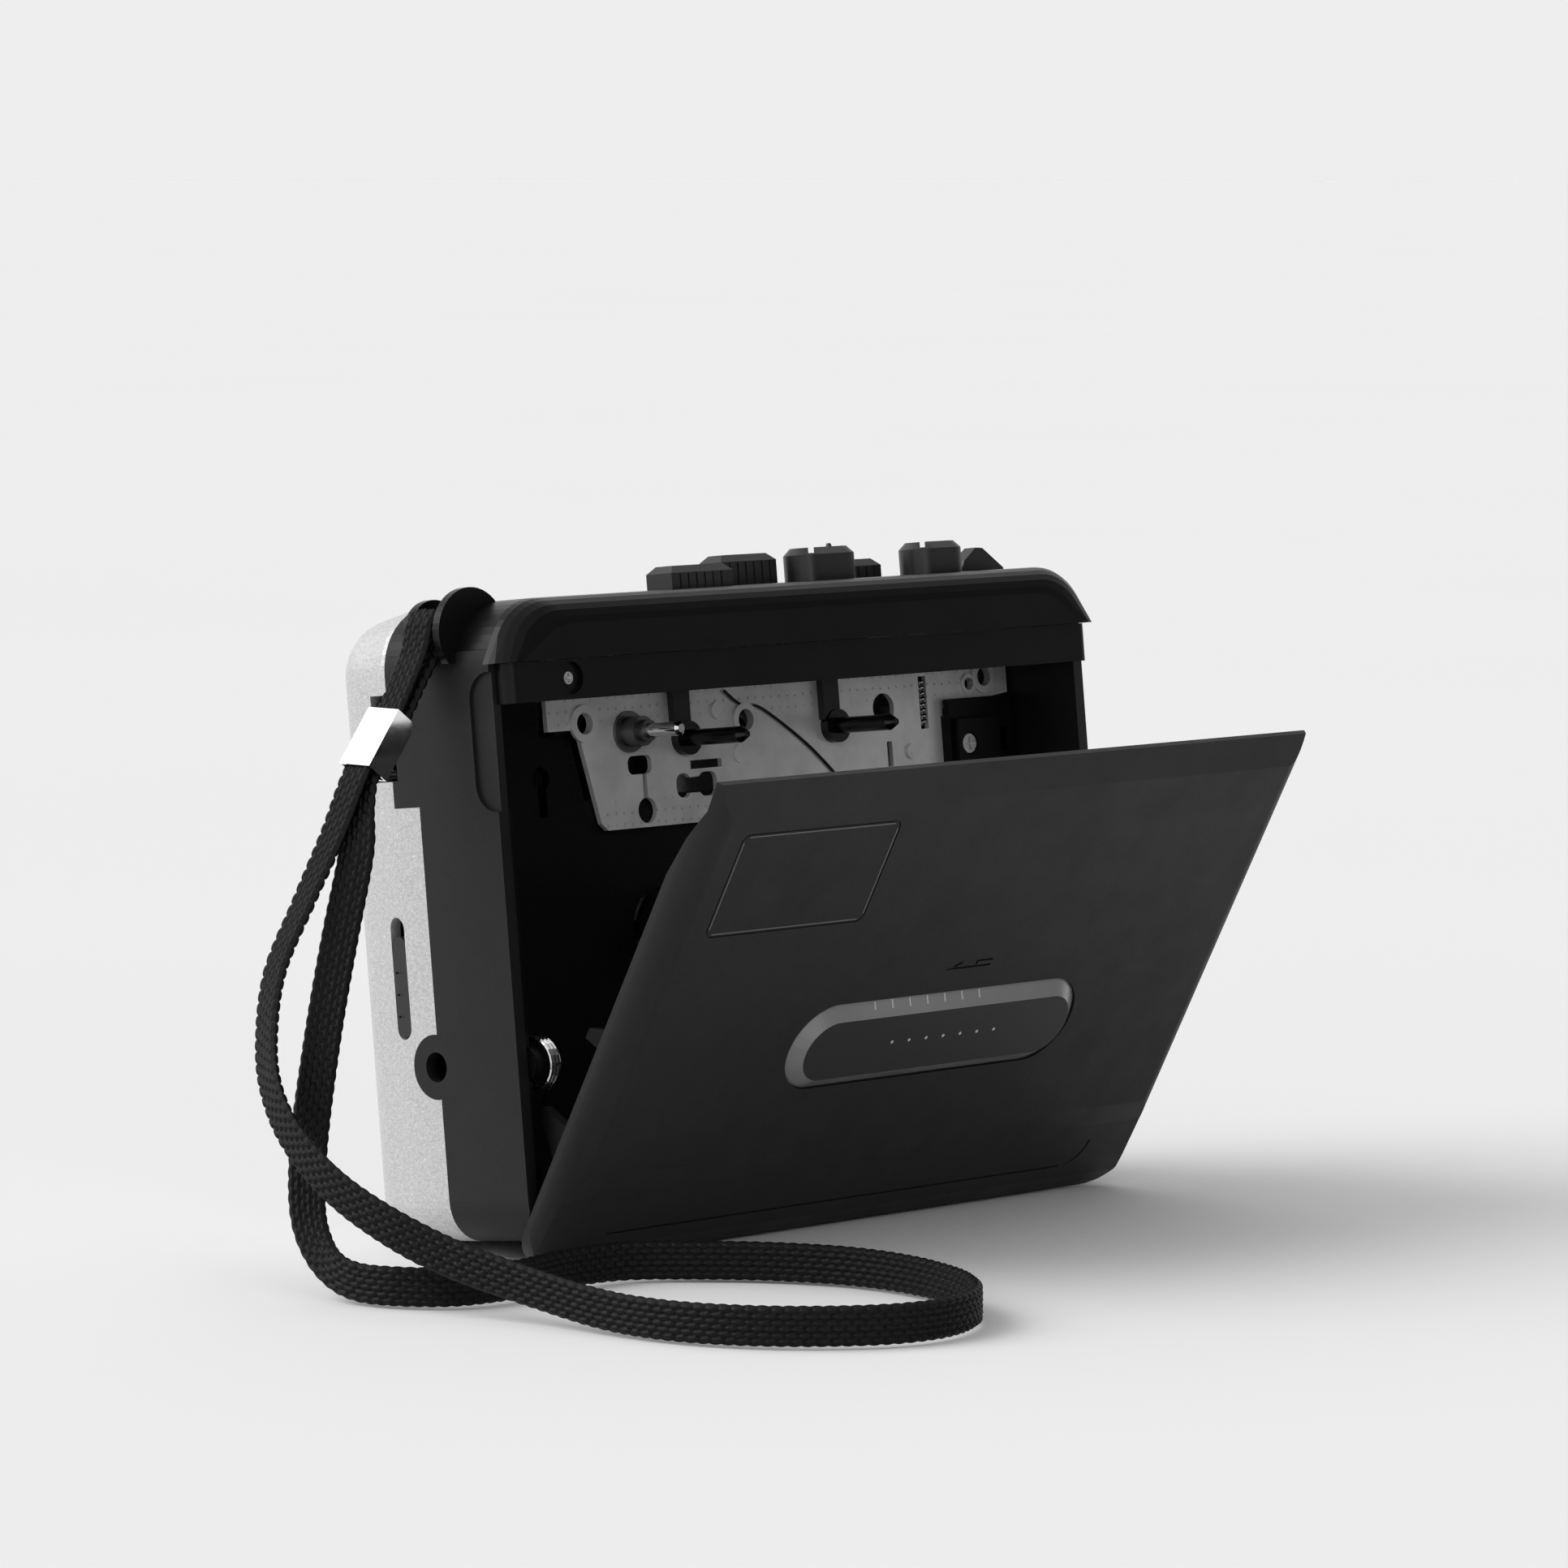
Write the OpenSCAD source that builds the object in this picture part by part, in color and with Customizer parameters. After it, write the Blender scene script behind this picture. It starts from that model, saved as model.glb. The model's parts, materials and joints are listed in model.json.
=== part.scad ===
// Pocket radio-cassette recorder, standing with its cassette door open.
// Player coordinates: X to the right seen from the door side, Y towards the
// speaker side, Z up, origin in the base plane under the middle of the body.
// The open door props the body up, so everything is leaned back as a whole
// and moved until the door's lower edge and the rear edge touch Z = 0.

/* [Body] */
// Width of the body
body_w = 118; // [117:0.5:119]
// Height of the casing without its keys
body_h = 86.5; // [86:0.5:87]
// Distance from the middle plane to the speaker side
back_y = 19.5; // [19.5:0.5:20.5]
// Wall thickness of the plastic shells
wall = 1.8; // [1.6:0.1:1.9]
// Radius of the top corners seen from the front
top_r = 9; // [8:0.5:9.5]
// Radius of the lower corners seen from the front
foot_r = 6; // [5:0.5:6.5]
// Angle that the player leans back on its open door
lean_angle = 6; // [5.8:0.1:6.2]

/* [Door] */
// Angle of the cassette door away from its closed position
door_open = 34.5; // [20:0.5:34.5]
// Thickness of the door's plastic skin
door_skin = 1.3; // [1.1:0.1:1.5]
// Depth of the door's side flanges
door_depth = 4.5; // [4.2:0.1:4.6]

/* [Mechanism] */
// Distance of the two cassette hubs from the middle of the cassette
hub_pitch = 21.25; // [21.2:0.05:21.3]
// Height of the cassette hubs above the base
hub_z = 40; // [39:0.5:41]
// Radius of the capstan shaft
capstan_r = 1; // [1:0.1:1.1]
// Travel of the keys
key_travel = 3; // [2:0.5:3]

/* [Strap] */
// Width of the webbing
strap_w = 5; // [4.8:0.1:5.2]
// Thickness of the webbing
strap_t = 1.4; // [1.2:0.1:1.5]

/* [Hidden] */
$fn = 48;
half_w = body_w / 2;
rim_y = -16.5;
front_y = -20.3;
band_y = -19.2;
seam_y = -1;
upper_seam_y = 4;
step_z = 59.5;
cover_z = 80;
band_z0 = 72.5;
band_z1 = 78;
deck_x = 4.8;
plate_y0 = -3.6;
plate_y1 = -2.8;
liner_y0 = -2.6;
liner_y1 = -1.2;
hinge_y = -11.2;
hinge_z = 7.2;
door_face_y = -22;
door_tip_z = 77.5;
door_crease_z = 73.2;
window_z = 33.6;
spring_y = -15.6;
spring_z = 24.2;
hinge_pin_r = 1;
capstan_x = -21.3;
capstan_z = 67.4;
guide_z = 65.9;
guide_xs = [-10.6, 19.4];
takeup_x = deck_x - hub_pitch;
supply_x = deck_x + hub_pitch;
flywheel_r = 11.5;
pinion_r = 3.2;
takeup_r = 9.5;
// Idler between the flywheel's pinion and the take-up gear
to_takeup = sqrt(pow(takeup_x - capstan_x, 2) + pow(hub_z - capstan_z, 2));
idler_r = (to_takeup - pinion_r - takeup_r) / 2;
idler_x = capstan_x + (takeup_x - capstan_x) * (pinion_r + idler_r) / to_takeup;
idler_z = capstan_z + (hub_z - capstan_z) * (pinion_r + idler_r) / to_takeup;
motor_x = -40;
motor_z = 33;
pulley_r = 2.6;
jack_y = -0.4;
jack_z = 24.2;
island_r = 4.4;
phones_y = 3;
phones_z = 22;
wheel_r = 6.5;
wheel_z = 69;
wheel_x = -half_w + wheel_r - 1.1;
tuner_r = 8;
tuner_z = 62;
tuner_x = half_w - tuner_r + 1.1;
switch_y = 5.6;
switch_z0 = 28;
switch_z1 = 44.7;
speaker_x = 20;
speaker_z = 46;
speaker_r = 25;
dial_x0 = -44;
dial_x1 = -12;
dial_z0 = 52;
dial_z1 = 66;
battery_y = 8.9;
battery_z = 9.6;
battery_r = 7.3;
lug_y0 = -10.2;
lug_y1 = -8.9;
lug_y2 = -3.4;
lug_y3 = -2.1;
lug_x = -55.4;
lug_z = 82.4;
lug_r = 6.2;
bar_x = -59.4;
bar_z = 84;
bar_r = 0.8;

// Keys: [left x, right x, front y, back y, top z]
KEYS = [
    [-20.8, -8.8, -14, -9, 89.8],
    [-5.4, 5.6, -8.4, -4, 91],
    [7.1, 18.9, -12.6, -6.6, 91.3],
    [20.4, 28.3, -7, -3, 89.4],
    [30.8, 41.1, -12.6, -6.6, 91.2],
];

// Lift that puts the lowest points on the ground, and shift that centres the box
lean_lift = 1.89;
lean_shift = 12.4;
lean_side = 0.7;

// ---------- placing ----------

module leaned() {
    translate([lean_side, lean_shift, lean_lift]) rotate([-lean_angle, 0, 0]) children();
}

// Swings what is drawn closed into the open rest position
module opened() {
    translate([0, hinge_y, hinge_z]) rotate([door_open, 0, 0])
        translate([0, -hinge_y, -hinge_z]) children();
}

// Extrudes an (x, z) drawing from y0 to y1
module across(y0, y1) {
    translate([0, y1, 0]) rotate([90, 0, 0]) linear_extrude(y1 - y0) children();
}

// Extrudes a (y, z) drawing from x0 to x1
module along(x0, x1) {
    translate([x0, 0, 0]) rotate([90, 0, 90]) linear_extrude(x1 - x0) children();
}

module block(x0, x1, y0, y1, z0, z1) {
    translate([x0, y0, z0]) cube([x1 - x0, y1 - y0, z1 - z0]);
}

// Rod or disc along Y, centred on (x, z)
module rod_y(x, z, r, y0, y1) {
    translate([x, y1, z]) rotate([90, 0, 0]) cylinder(h = y1 - y0, r = r);
}

// Rod along X, centred on (y, z)
module rod_x(y, z, r, x0, x1) {
    translate([x0, y, z]) rotate([0, 90, 0]) cylinder(h = x1 - x0, r = r);
}

module mirrored() {
    children();
    mirror([1, 0, 0]) children();
}

// Solid skinned over a list of rings that all have the same number of points
module swept(rings) {
    n = len(rings);
    m = len(rings[0]);
    polyhedron(
        points = [for (r = rings) each r],
        faces = concat(
            [[for (j = [0 : m - 1]) m - 1 - j]],
            [for (i = [0 : n - 2], j = [0 : m - 1])
                [i * m + j, i * m + (j + 1) % m, (i + 1) * m + (j + 1) % m]],
            [for (i = [0 : n - 2], j = [0 : m - 1])
                [i * m + j, (i + 1) * m + (j + 1) % m, (i + 1) * m + j]],
            [[for (j = [0 : m - 1]) (n - 1) * m + j]]));
}

// Round wire along a list of points
module wire(pts, r, sides) {
    last = len(pts) - 1;
    swept([for (i = [0 : last]) let (
            dir = unit(pts[min(i + 1, last)] - pts[max(i - 1, 0)]),
            a = unit(cross(dir, abs(dir[0]) < 0.8 ? [1, 0, 0] : [0, 0, 1])),
            b = cross(a, dir))
        [for (k = [0 : sides - 1]) pts[i] + a * r * cos(k * 360 / sides) + b * r * sin(k * 360 / sides)]]);
}

// Rectangle with rounded corners, as bars and corner discs
module round_rect(x0, x1, z0, z1, r) {
    translate([x0 + r, z0]) square([x1 - x0 - 2 * r, z1 - z0]);
    translate([x0, z0 + r]) square([x1 - x0, z1 - z0 - 2 * r]);
    for (x = [x0 + r, x1 - r], z = [z0 + r, z1 - r]) translate([x, z]) circle(r);
}

// Front outline of the body, seen along Y, pulled in by an inset
module outline(inset = 0) {
    w = half_w - inset;
    rt = max(top_r - inset, 1);
    rf = max(foot_r - inset, 1);
    top = body_h - inset;
    translate([-w, inset + rf]) square([2 * w, top - inset - rt - rf]);
    translate([-w + rf, inset]) square([2 * (w - rf), rf]);
    translate([-w + rt, top - rt]) square([2 * (w - rt), rt]);
    for (s = [-1, 1]) {
        translate([s * (w - rf), inset + rf]) circle(rf);
        translate([s * (w - rt), top - rt]) circle(rt);
    }
}

// ---------- outer shells ----------

// Thin slice of the rear shell at depth y: sides and top pulled in, base less so
module rear_slice(y, side, base) {
    w = half_w - side;
    top = body_h - side;
    rt = max(top_r - side, 4);
    rf = max(foot_r - base, 4);
    translate([0, y, 0]) rotate([90, 0, 0]) linear_extrude(0.01) hull() {
        for (s = [-1, 1]) {
            translate([s * (w - rf), base + rf]) circle(rf, $fn = 40);
            translate([s * (w - rt), top - rt]) circle(rt, $fn = 40);
        }
    }
}

// Pull-in of the sides at a fraction of the rear rounding
function rear_side(t, extra) = 1.2 + 12 * (1 - cos(90 * t)) + extra;
function rear_base(t, extra) = (t < 0.6 ? 0 : 3 * (1 - sqrt(1 - pow((t - 0.6) / 0.4, 2)))) + extra;

// Solid of the speaker side from y0 back, grown or shrunk by an extra inset
module rear_solid(y0, extra = 0) {
    crease_y = 4.8;
    round_y = 10.5;
    hull() {
        rear_slice(y0, extra, extra);
        rear_slice(crease_y, extra, extra);
        for (i = [0 : 10]) {
            t = i / 10;
            rear_slice(round_y + (back_y - extra - round_y) * sin(90 * t),
                rear_side(t, extra), rear_base(t, extra));
        }
    }
}

// Zone of the speaker side: behind the seam, and behind the upper seam above the step
module rear_zone(gap) {
    block(-70, 70, seam_y + gap, 30, -5, step_z - gap);
    block(-70, 70, upper_seam_y + gap, 30, -5, 100);
}

module rear_shell() color("silver") {
    difference() {
        intersection() {
            rear_solid(seam_y);
            rear_zone(0.05);
        }
        rear_solid(seam_y - 1, wall);
        // round island of the power socket
        rod_x(jack_y, jack_z, island_r + 0.05, -half_w - 1, -half_w + wall + 0.3);
        // slot of the output switch
        hull() for (z = [switch_z0 + 1.6, switch_z1 - 1.6])
            rod_x(switch_y, z, 1.6, -half_w - 1, -half_w + 4);
        // slots of the volume and tuning wheels
        block(-half_w - 1, -half_w + 4, 3, 7.9, wheel_z - 5.9, wheel_z + 5.9);
        block(half_w - 4, half_w + 1, 4.7, 7.7, tuner_z - 6.6, tuner_z + 6.6);
        // speaker opening with a seat for the grille
        rod_y(speaker_x, speaker_z, 21.5, 10, 25);
        rod_y(speaker_x, speaker_z, 24, back_y - 0.9, 25);
        // headphone socket on the right end
        rod_x(phones_y, phones_z, 2, half_w - wall - 1, half_w + 1);
        // dial window
        block(dial_x0, dial_x1, 10, back_y + 1, dial_z0, dial_z1);
        block(dial_x0 - 1.5, dial_x1 + 1.5, back_y - 0.9, back_y + 1, dial_z0 - 1.5, dial_z1 + 1.5);
        // battery opening that runs out through the right end
        block(-50.2, half_w + 1, 3.2, 14.6, -1, wall + 0.3);
        block(48, half_w + 1, 3.2, 14.6, -1, 4.6);
    }
}

module front_casing() color([0.22, 0.22, 0.22]) {
    difference() {
        union() {
            difference() {
                across(rim_y, seam_y) outline();
                across(rim_y - 1, seam_y + 1) outline(wall);
            }
            // upper side panels that reach further back
            difference() {
                across(seam_y - 0.01, upper_seam_y) outline();
                across(seam_y - 1, upper_seam_y + 1) outline(wall);
                block(-70, 70, -5, 10, -1, step_z);
                // rear part of the volume wheel's slot
                block(-half_w - 1, -half_w + 4, 3, 10, wheel_z - 5.9, wheel_z + 5.9);
            }
            // island of the power socket
            rod_x(jack_y, jack_z, island_r, -half_w, -half_w + wall);
            // walls behind the cassette compartment at both ends
            mirrored() block(50, half_w - wall + 0.3, liner_y0 - 0.01, liner_y1, 60, 76);
        }
        // everything above the cover seam belongs to the top cover
        block(-70, 70, -30, 30, cover_z, 100);
        // finger recess beside the front edge
        along(-half_w - 1, -half_w + 0.5) intersection() {
            round_rect(-30, -12.4, 58.2, 77, 3.8);
            translate([-30, 0]) square([30, 100]);
        }
        // room for the door's lower end
        along(-70, 70) polygon([[-18.5, -1], [-12.7, -1], [-16.05, 3.85], [-16.5, 4.6], [-18.5, 4.6]]);
        // bores of the hinge pins
        mirrored() rod_x(hinge_y, hinge_z, hinge_pin_r, half_w - wall - 1, half_w - 0.7);
        // power socket
        rod_x(jack_y, jack_z, 2.05, -half_w - 1, -half_w + wall + 1);
    }
}

// Slice of the visor at depth y, pulled in by an inset
module visor_slice(y, inset) {
    w = half_w + 1 - inset;
    translate([0, y, 0]) rotate([90, 0, 0]) linear_extrude(0.01) hull() {
        for (s = [-1, 1]) {
            translate([s * (w - top_r - 1), body_h - top_r - inset]) circle(top_r, $fn = 48);
            translate([s * w, band_z1]) square(0.01, center = true);
        }
    }
}

module top_cover() color([0.12, 0.12, 0.12]) {
    r = 3.8;
    steps = 6;
    difference() {
        union() {
            // roof and shoulders
            intersection() {
                across(rim_y + 0.05, upper_seam_y) outline();
                block(-70, 70, -30, 30, cover_z + 0.05, 100);
            }
            // rounded front edge that overhangs the ends a little
            intersection() {
                hull() {
                    for (i = [0 : steps]) {
                        a = 90 * i / steps;
                        visor_slice(front_y + r * (1 - sin(a)), r * (1 - cos(a)));
                    }
                    visor_slice(rim_y - 0.05, 0.15);
                }
                block(-70, 70, -30, 0, band_z1, 100);
            }
            // ears that carry the strap bar
            for (e = [[lug_x, lug_r, lug_y0, lug_y1], [lug_x - 0.4, lug_r - 1.3, lug_y2, lug_y3]])
                difference() {
                    rod_y(e[0], lug_z, e[1], e[2], e[3]);
                    block(-70, -40, -20, 10, 70, cover_z - 1.5);
                    block(-half_w - 0.05, -40, -20, 10, 70, cover_z + 0.05);
                }
        }
        // hollow inside
        difference() {
            across(rim_y - 2.4, upper_seam_y + 1) outline(wall);
            block(-70, 70, -30, rim_y + 0.4, -1, band_z1 + 0.05);
        }
        // key openings
        for (k = KEYS) block(k[0] - 0.3, k[1] + 0.3, k[2] - 0.3, k[3] + 0.3, 80, 100);
        block(41.3, 54.5, -9.6, -6.8, 80, 100);
        // hole for the strap bar
        rod_y(bar_x, bar_z, bar_r, lug_y0 + 0.4, lug_y3 - 0.4);
    }
}

module head_cover() color([0.12, 0.12, 0.12]) {
    r = 1.6;
    x1 = 57.8;
    difference() {
        intersection() {
            block(-x1, x1, band_y, rim_y + 1.4, band_z0, band_z1 - 0.05);
            linear_extrude(100) round_rect(-x1, x1, band_y, 0, r);
        }
        // hollow behind the face
        block(-x1 + 1.4, x1 - 1.4, band_y + 1.4, 0, band_z0 + 1.2, 100);
        // parts inside the casing walls stay clear
        mirrored() block(half_w - wall - 0.05, 70, rim_y - 0.05, 0, 70, 100);
        // dimple of the screw
        rod_y(-46.3, 75.4, 2.2, -30, band_y + 0.7);
        rod_y(-46.3, 75.4, 0.9, -30, 0);
    }
}

// ---------- cassette compartment ----------

module plate_outline() {
    difference() {
        polygon([[-36.6, 68.2], [-30.9, 68.2], [-27.6, 55], [-26.4, 54], [42.6, 54],
            [42.6, 67.1], [56.6, 68.8], [56.6, 79], [-36.6, 79]]);
        for (h = [[capstan_x, capstan_z, 2.5], [-29.9, 69, 1.5], [1.6, 67.8, 1.5],
                [30.2, 67.8, 2.2], [51.3, 71.3, 1.4], [48.2, 70.4, 0.9]])
            translate([h[0], h[1]]) circle(h[2]);
        // keyhole with a cross head
        translate([-21.8, 61.4]) round_rect(0, 4.6, 0, 2.6, 1);
        translate([-19.1, 56.6]) square([0.8, 5]);
        translate([-18.6, 56.3]) circle(1.8);
        // dog-bone slot
        translate([-12.6, 57.6]) round_rect(0, 2.8, 0, 3.4, 1.2);
        translate([-8.2, 57.6]) round_rect(0, 3.6, 0, 3.4, 1.2);
        translate([-10.4, 58.2]) square([3, 2.2]);
        // small slots
        translate([-9.6, 61.5]) square([6.2, 1.2]);
        translate([30.4, 59.4]) square([1.1, 3.6]);
        translate([37.8, 64.4]) square([1.6, 7.6]);
    }
}

module ring(x, z, r_out, r_in, y0, y1) {
    difference() {
        rod_y(x, z, r_out, y0, y1);
        rod_y(x, z, r_in, y0 - 1, y1 + 1);
    }
}

module chassis_plate() color([0.72, 0.72, 0.7]) {
    across(plate_y0, plate_y1) plate_outline();
    // drawn collars around the large holes
    ring(-29.9, 69, 2.6, 1.5, plate_y0 - 0.5, plate_y0);
    ring(1.6, 67.8, 2.4, 1.5, plate_y0 - 0.5, plate_y0);
    ring(51.3, 71.3, 2.4, 1.4, plate_y0 - 0.5, plate_y0);
    ring(48.2, 70.4, 1.5, 0.9, plate_y0 - 0.3, plate_y0);
    // pressed bosses
    rod_y(-3.8, 69.4, 1.2, plate_y0 - 0.4, plate_y0);
    rod_y(0.2, 63.1, 1.3, plate_y0 - 0.4, plate_y0);
    rod_y(35.3, 61.3, 1.1, plate_y0 - 0.4, plate_y0);
}

module compartment_liner() color([0.07, 0.07, 0.07]) difference() {
    union() {
        // deck behind the cassette
        across(liner_y0, liner_y1) difference() {
            union() {
                translate([-57, 8]) square([114, 50.4]);
                polygon([[-49.9, 58], [-29.5, 58], [-31.8, 67.6], [-37.4, 67.6],
                    [-37.4, 76], [-49.9, 76]]);
            }
            for (x = [takeup_x, supply_x]) translate([x, hub_z]) circle(5.6);
            // keyhole in the left part
            translate([-37.6, 61.9]) circle(1.6);
            translate([-38.4, 56.6]) square([1.6, 5]);
        }
        // side walls with ribs, and the floor
        mirrored() block(56.2, 57, -16, liner_y1, 12, 58.4);
        for (y = [-13.5, -10.5, -7.5, -4.5]) block(55.4, 57, y, y + 1, 30, 58.4);
        block(-57, 57, -9, liner_y1, 8, 9.2);
        // post of the door spring
        rod_x(spring_y, spring_z, 2.4, -57, -53);
    }
    // room for the power socket
    block(-58, -47.8, -3.7, 0, 20.4, 28);
}

module mechanism_cover() color([0.05, 0.05, 0.05]) {
    y1 = plate_y0 - 0.75;
    difference() {
        union() {
            block(42, 55.4, y1 - 1, y1, 40, 68.4);
            block(42, 43, y1 - 0.1, plate_y0 - 0.05, 56, 66);
            block(54.4, 55.4, y1 - 0.1, plate_y0 - 0.05, 40, 68.4);
            block(42.6, 51.4, y1 - 2, y1 - 0.9, 40, 65.4);
        }
        rod_y(45, 61.8, 1.6, -20, y1 - 1.2);
        rod_y(45, 61.8, 0.8, -20, 0);
        block(52.4, 53.9, -20, 0, 60.4, 63.8);
    }
}

module guide_pins() color([0.06, 0.06, 0.06]) {
    for (i = [0, 1]) {
        x = guide_xs[i];
        rod_y(x, guide_z, 2.4, -5, plate_y0);
        rod_y(x, guide_z, 1.15, -15, -5);
        translate([x, -15, guide_z]) rotate([90, 0, 0]) cylinder(h = 1.3, r1 = 1.15, r2 = 0.5, $fn = 32);
        block(x - 2.6, x + 0.6, -4.8, plate_y0, guide_z + 1, 77.4);
    }
}

module capstan_bearing() color([0.62, 0.62, 0.62]) difference() {
    union() {
        rod_y(capstan_x, capstan_z, 2.9, plate_y0 - 0.5, plate_y0);
        rod_y(capstan_x, capstan_z, 2.45, plate_y0, plate_y1 + 0.5);
        rod_y(capstan_x, capstan_z, 2.1, -6.8, plate_y0);
        rod_y(capstan_x, capstan_z, 1.5, -8, -6.8);
    }
    rod_y(capstan_x, capstan_z, capstan_r + 0.04, -20, 5);
}

module capstan_shaft() color([0.85, 0.85, 0.85]) {
    rod_y(capstan_x, capstan_z, capstan_r, -13.8, 6.6);
    translate([capstan_x, -13.8, capstan_z]) rotate([90, 0, 0])
        cylinder(h = 0.4, r1 = capstan_r, r2 = 0.6, $fn = 32);
}

// Small extension spring that hangs in the plate's upright slot
module slot_spring() color([0.8, 0.8, 0.8])
    wire([for (i = [0 : 96]) [38.6 + 0.5 * cos(i * 30), -3.2 + 0.5 * sin(i * 30), 64.9 + i * 0.068]],
        0.16, 6);

// ---------- heads ----------

module record_play_head() color([0.8, 0.8, 0.8]) {
    difference() {
        across(-13.4, -6.3) union() {
            translate([deck_x - 5.6, 75.4]) square([11.2, 3.2]);
            translate([deck_x - 3.2, 74.6]) square([6.4, 1]);
            translate([deck_x, 75.2]) circle(2.1);
        }
        block(-20, 20, -20, 0, 78.6, 90);
    }
}

module erase_head() color([0.15, 0.15, 0.15]) {
    across(-12.4, -6.3) union() {
        translate([deck_x + 9.4, 75.6]) square([4.6, 3]);
        translate([deck_x + 11.7, 75.6]) circle(1.8);
    }
}

module head_base() color([0.75, 0.75, 0.72]) difference() {
    union() {
        block(-2.5, 21, -6.3, -5.3, 73.4, 78.6);
        block(13, 15, -5.3, -4, 75, 78.4);
    }
    rod_y(10.6, 76, 0.8, -8, -3);
}

module pinch_arm() color([0.7, 0.7, 0.7]) difference() {
    union() {
        rod_y(-33.4, 75.9, 2, -6.2, -5);
        block(-33.4, -20.6, -6.2, -5.4, 74.9, 76.9);
        rod_y(-20.6, 75.9, 0.7, -14, -5.4);
    }
    rod_y(-33.4, 75.9, 0.85, -8, -3);
}

module pinch_roller() color([0.08, 0.08, 0.08])
    ring(-20.6, 75.9, 2.95, 0.74, -13.6, -8.3);

// ---------- drive ----------

module flywheel() color([0.7, 0.66, 0.5]) difference() {
    union() {
        ring(capstan_x, capstan_z, flywheel_r, flywheel_r - 2.6, -0.7, 2.3);
        ring(capstan_x, capstan_z, flywheel_r - 2.5, capstan_r, 0.3, 1.3);
        ring(capstan_x, capstan_z, pinion_r, capstan_r, -0.7, 5);
    }
    for (a = [0 : 60 : 300]) rotate_about(capstan_x, capstan_z, a)
        rod_y(capstan_x + 6, capstan_z, 1.5, -2, 4);
}

// Turns children about a Y axis through (x, z)
module rotate_about(x, z, a) {
    translate([x, 0, z]) rotate([0, a, 0]) translate([-x, 0, -z]) children();
}

module belt_band(r_add, y0, y1) {
    across(y0, y1) hull() {
        translate([capstan_x, capstan_z]) circle(flywheel_r + r_add, $fn = 90);
        translate([motor_x, motor_z]) circle(pulley_r + r_add, $fn = 32);
    }
}

module drive_belt() color([0.1, 0.1, 0.1]) difference() {
    belt_band(0.75, 0.4, 1.3);
    belt_band(0.12, 0.3, 1.4);
}

module motor() color([0.78, 0.78, 0.78]) {
    rod_y(motor_x, motor_z, 10.6, 3, 15.4);
    rod_y(motor_x, motor_z, 3, 2.2, 3);
}

module motor_pulley() color([0.8, 0.7, 0.35]) {
    rod_y(motor_x, motor_z, pulley_r, 0, 1.7);
    rod_y(motor_x, motor_z, 0.75, 1.7, 2.15);
}

// Spur gear with straight-flanked teeth
module gear(x, z, r, teeth, y0, y1) {
    across(y0, y1) translate([x, z]) {
        circle(r - 0.9);
        for (i = [0 : teeth - 1]) rotate(i * 360 / teeth)
            polygon([[r - 1.3, -0.62], [r - 0.1, -0.3], [r - 0.1, 0.3], [r - 1.3, 0.62]]);
    }
}

module spindle(x) {
    rod_y(x, hub_z, 5.2, -3.6, -2.7);
    rod_y(x, hub_z, 3, -11.2, -3.6);
    for (a = [0 : 120 : 240]) rotate_about(x, hub_z, a)
        block(x - 0.6, x + 0.6, -10.6, -3.6, hub_z + 2.7, hub_z + 4.3);
    rod_y(x, hub_z, 1, -2.7, 6.6);
}

module reel_gear(x, r, teeth) difference() {
    gear(x, hub_z, r, teeth, 3, 5);
    rod_y(x, hub_z, 1, 0, 8);
}

module takeup_spindle() color([0.9, 0.9, 0.88]) spindle(takeup_x);
module supply_spindle() color([0.9, 0.9, 0.88]) spindle(supply_x);
module takeup_gear() color([0.93, 0.93, 0.9]) reel_gear(takeup_x, takeup_r, 30);
module supply_gear() color([0.93, 0.93, 0.9]) reel_gear(supply_x, 8, 25);

// Idler between the flywheel's pinion and the take-up gear
module idler_gear() color([0.93, 0.93, 0.9]) {
    gear(idler_x, idler_z, idler_r - 0.1, 22, 3, 5);
    rod_y(idler_x, idler_z, 1, 5, 6.6);
}

module mechanism_bracket() color([0.7, 0.7, 0.68]) difference() {
    across(5.8, 6.6) difference() {
        translate([-29, 34]) square([62, 42]);
        translate([6, 62]) circle(8);
        translate([capstan_x, capstan_z]) circle(capstan_r + 0.05);
        translate([takeup_x, hub_z]) circle(1.05);
        translate([supply_x, hub_z]) circle(1.05);
        translate([idler_x, idler_z]) circle(1.05);
    }
}

// ---------- electronics ----------

module circuit_board() color([0.1, 0.35, 0.15]) across(8.9, 10.1) difference() {
    union() {
        translate([-54, 48]) square([46, 32]);
        translate([-10, 72.5]) square([64, 7.5]);
    }
    translate([-9, 72]) circle(1.2);
    translate([-50, 78]) circle(1.2);
}

module board_parts() color([0.12, 0.12, 0.12]) {
    block(-40, -28, 10.1, 11.6, 69, 77);
    block(-24, -14, 10.1, 11.4, 70, 76);
    for (x = [-11, -4, 3, 10]) rod_y(x, 76.2, 2, 10.1, 15);
    for (x = [16 : 4 : 32]) block(x, x + 2.4, 10.1, 10.9, 75, 77);
    // potentiometer of the volume wheel
    rod_y(wheel_x, wheel_z, 2.4, 7.7, 8.9);
    rod_y(wheel_x, wheel_z, 1.5, 4.6, 7.7);
    // body of the output switch
    block(-56.1, -52, 3.4, 7.8, switch_z0 + 2, switch_z1 - 2);
}

module battery_tray() color([0.1, 0.1, 0.1]) difference() {
    intersection() {
        block(-53, 53, 1, 16.8, 1, 17.8);
        rear_solid(seam_y, wall + 0.4);
    }
    rod_x(battery_y, battery_z, battery_r, -51.8, 51.8);
    block(-51.8, 51.8, 2.6, 15.2, 0, battery_z);
}

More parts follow.
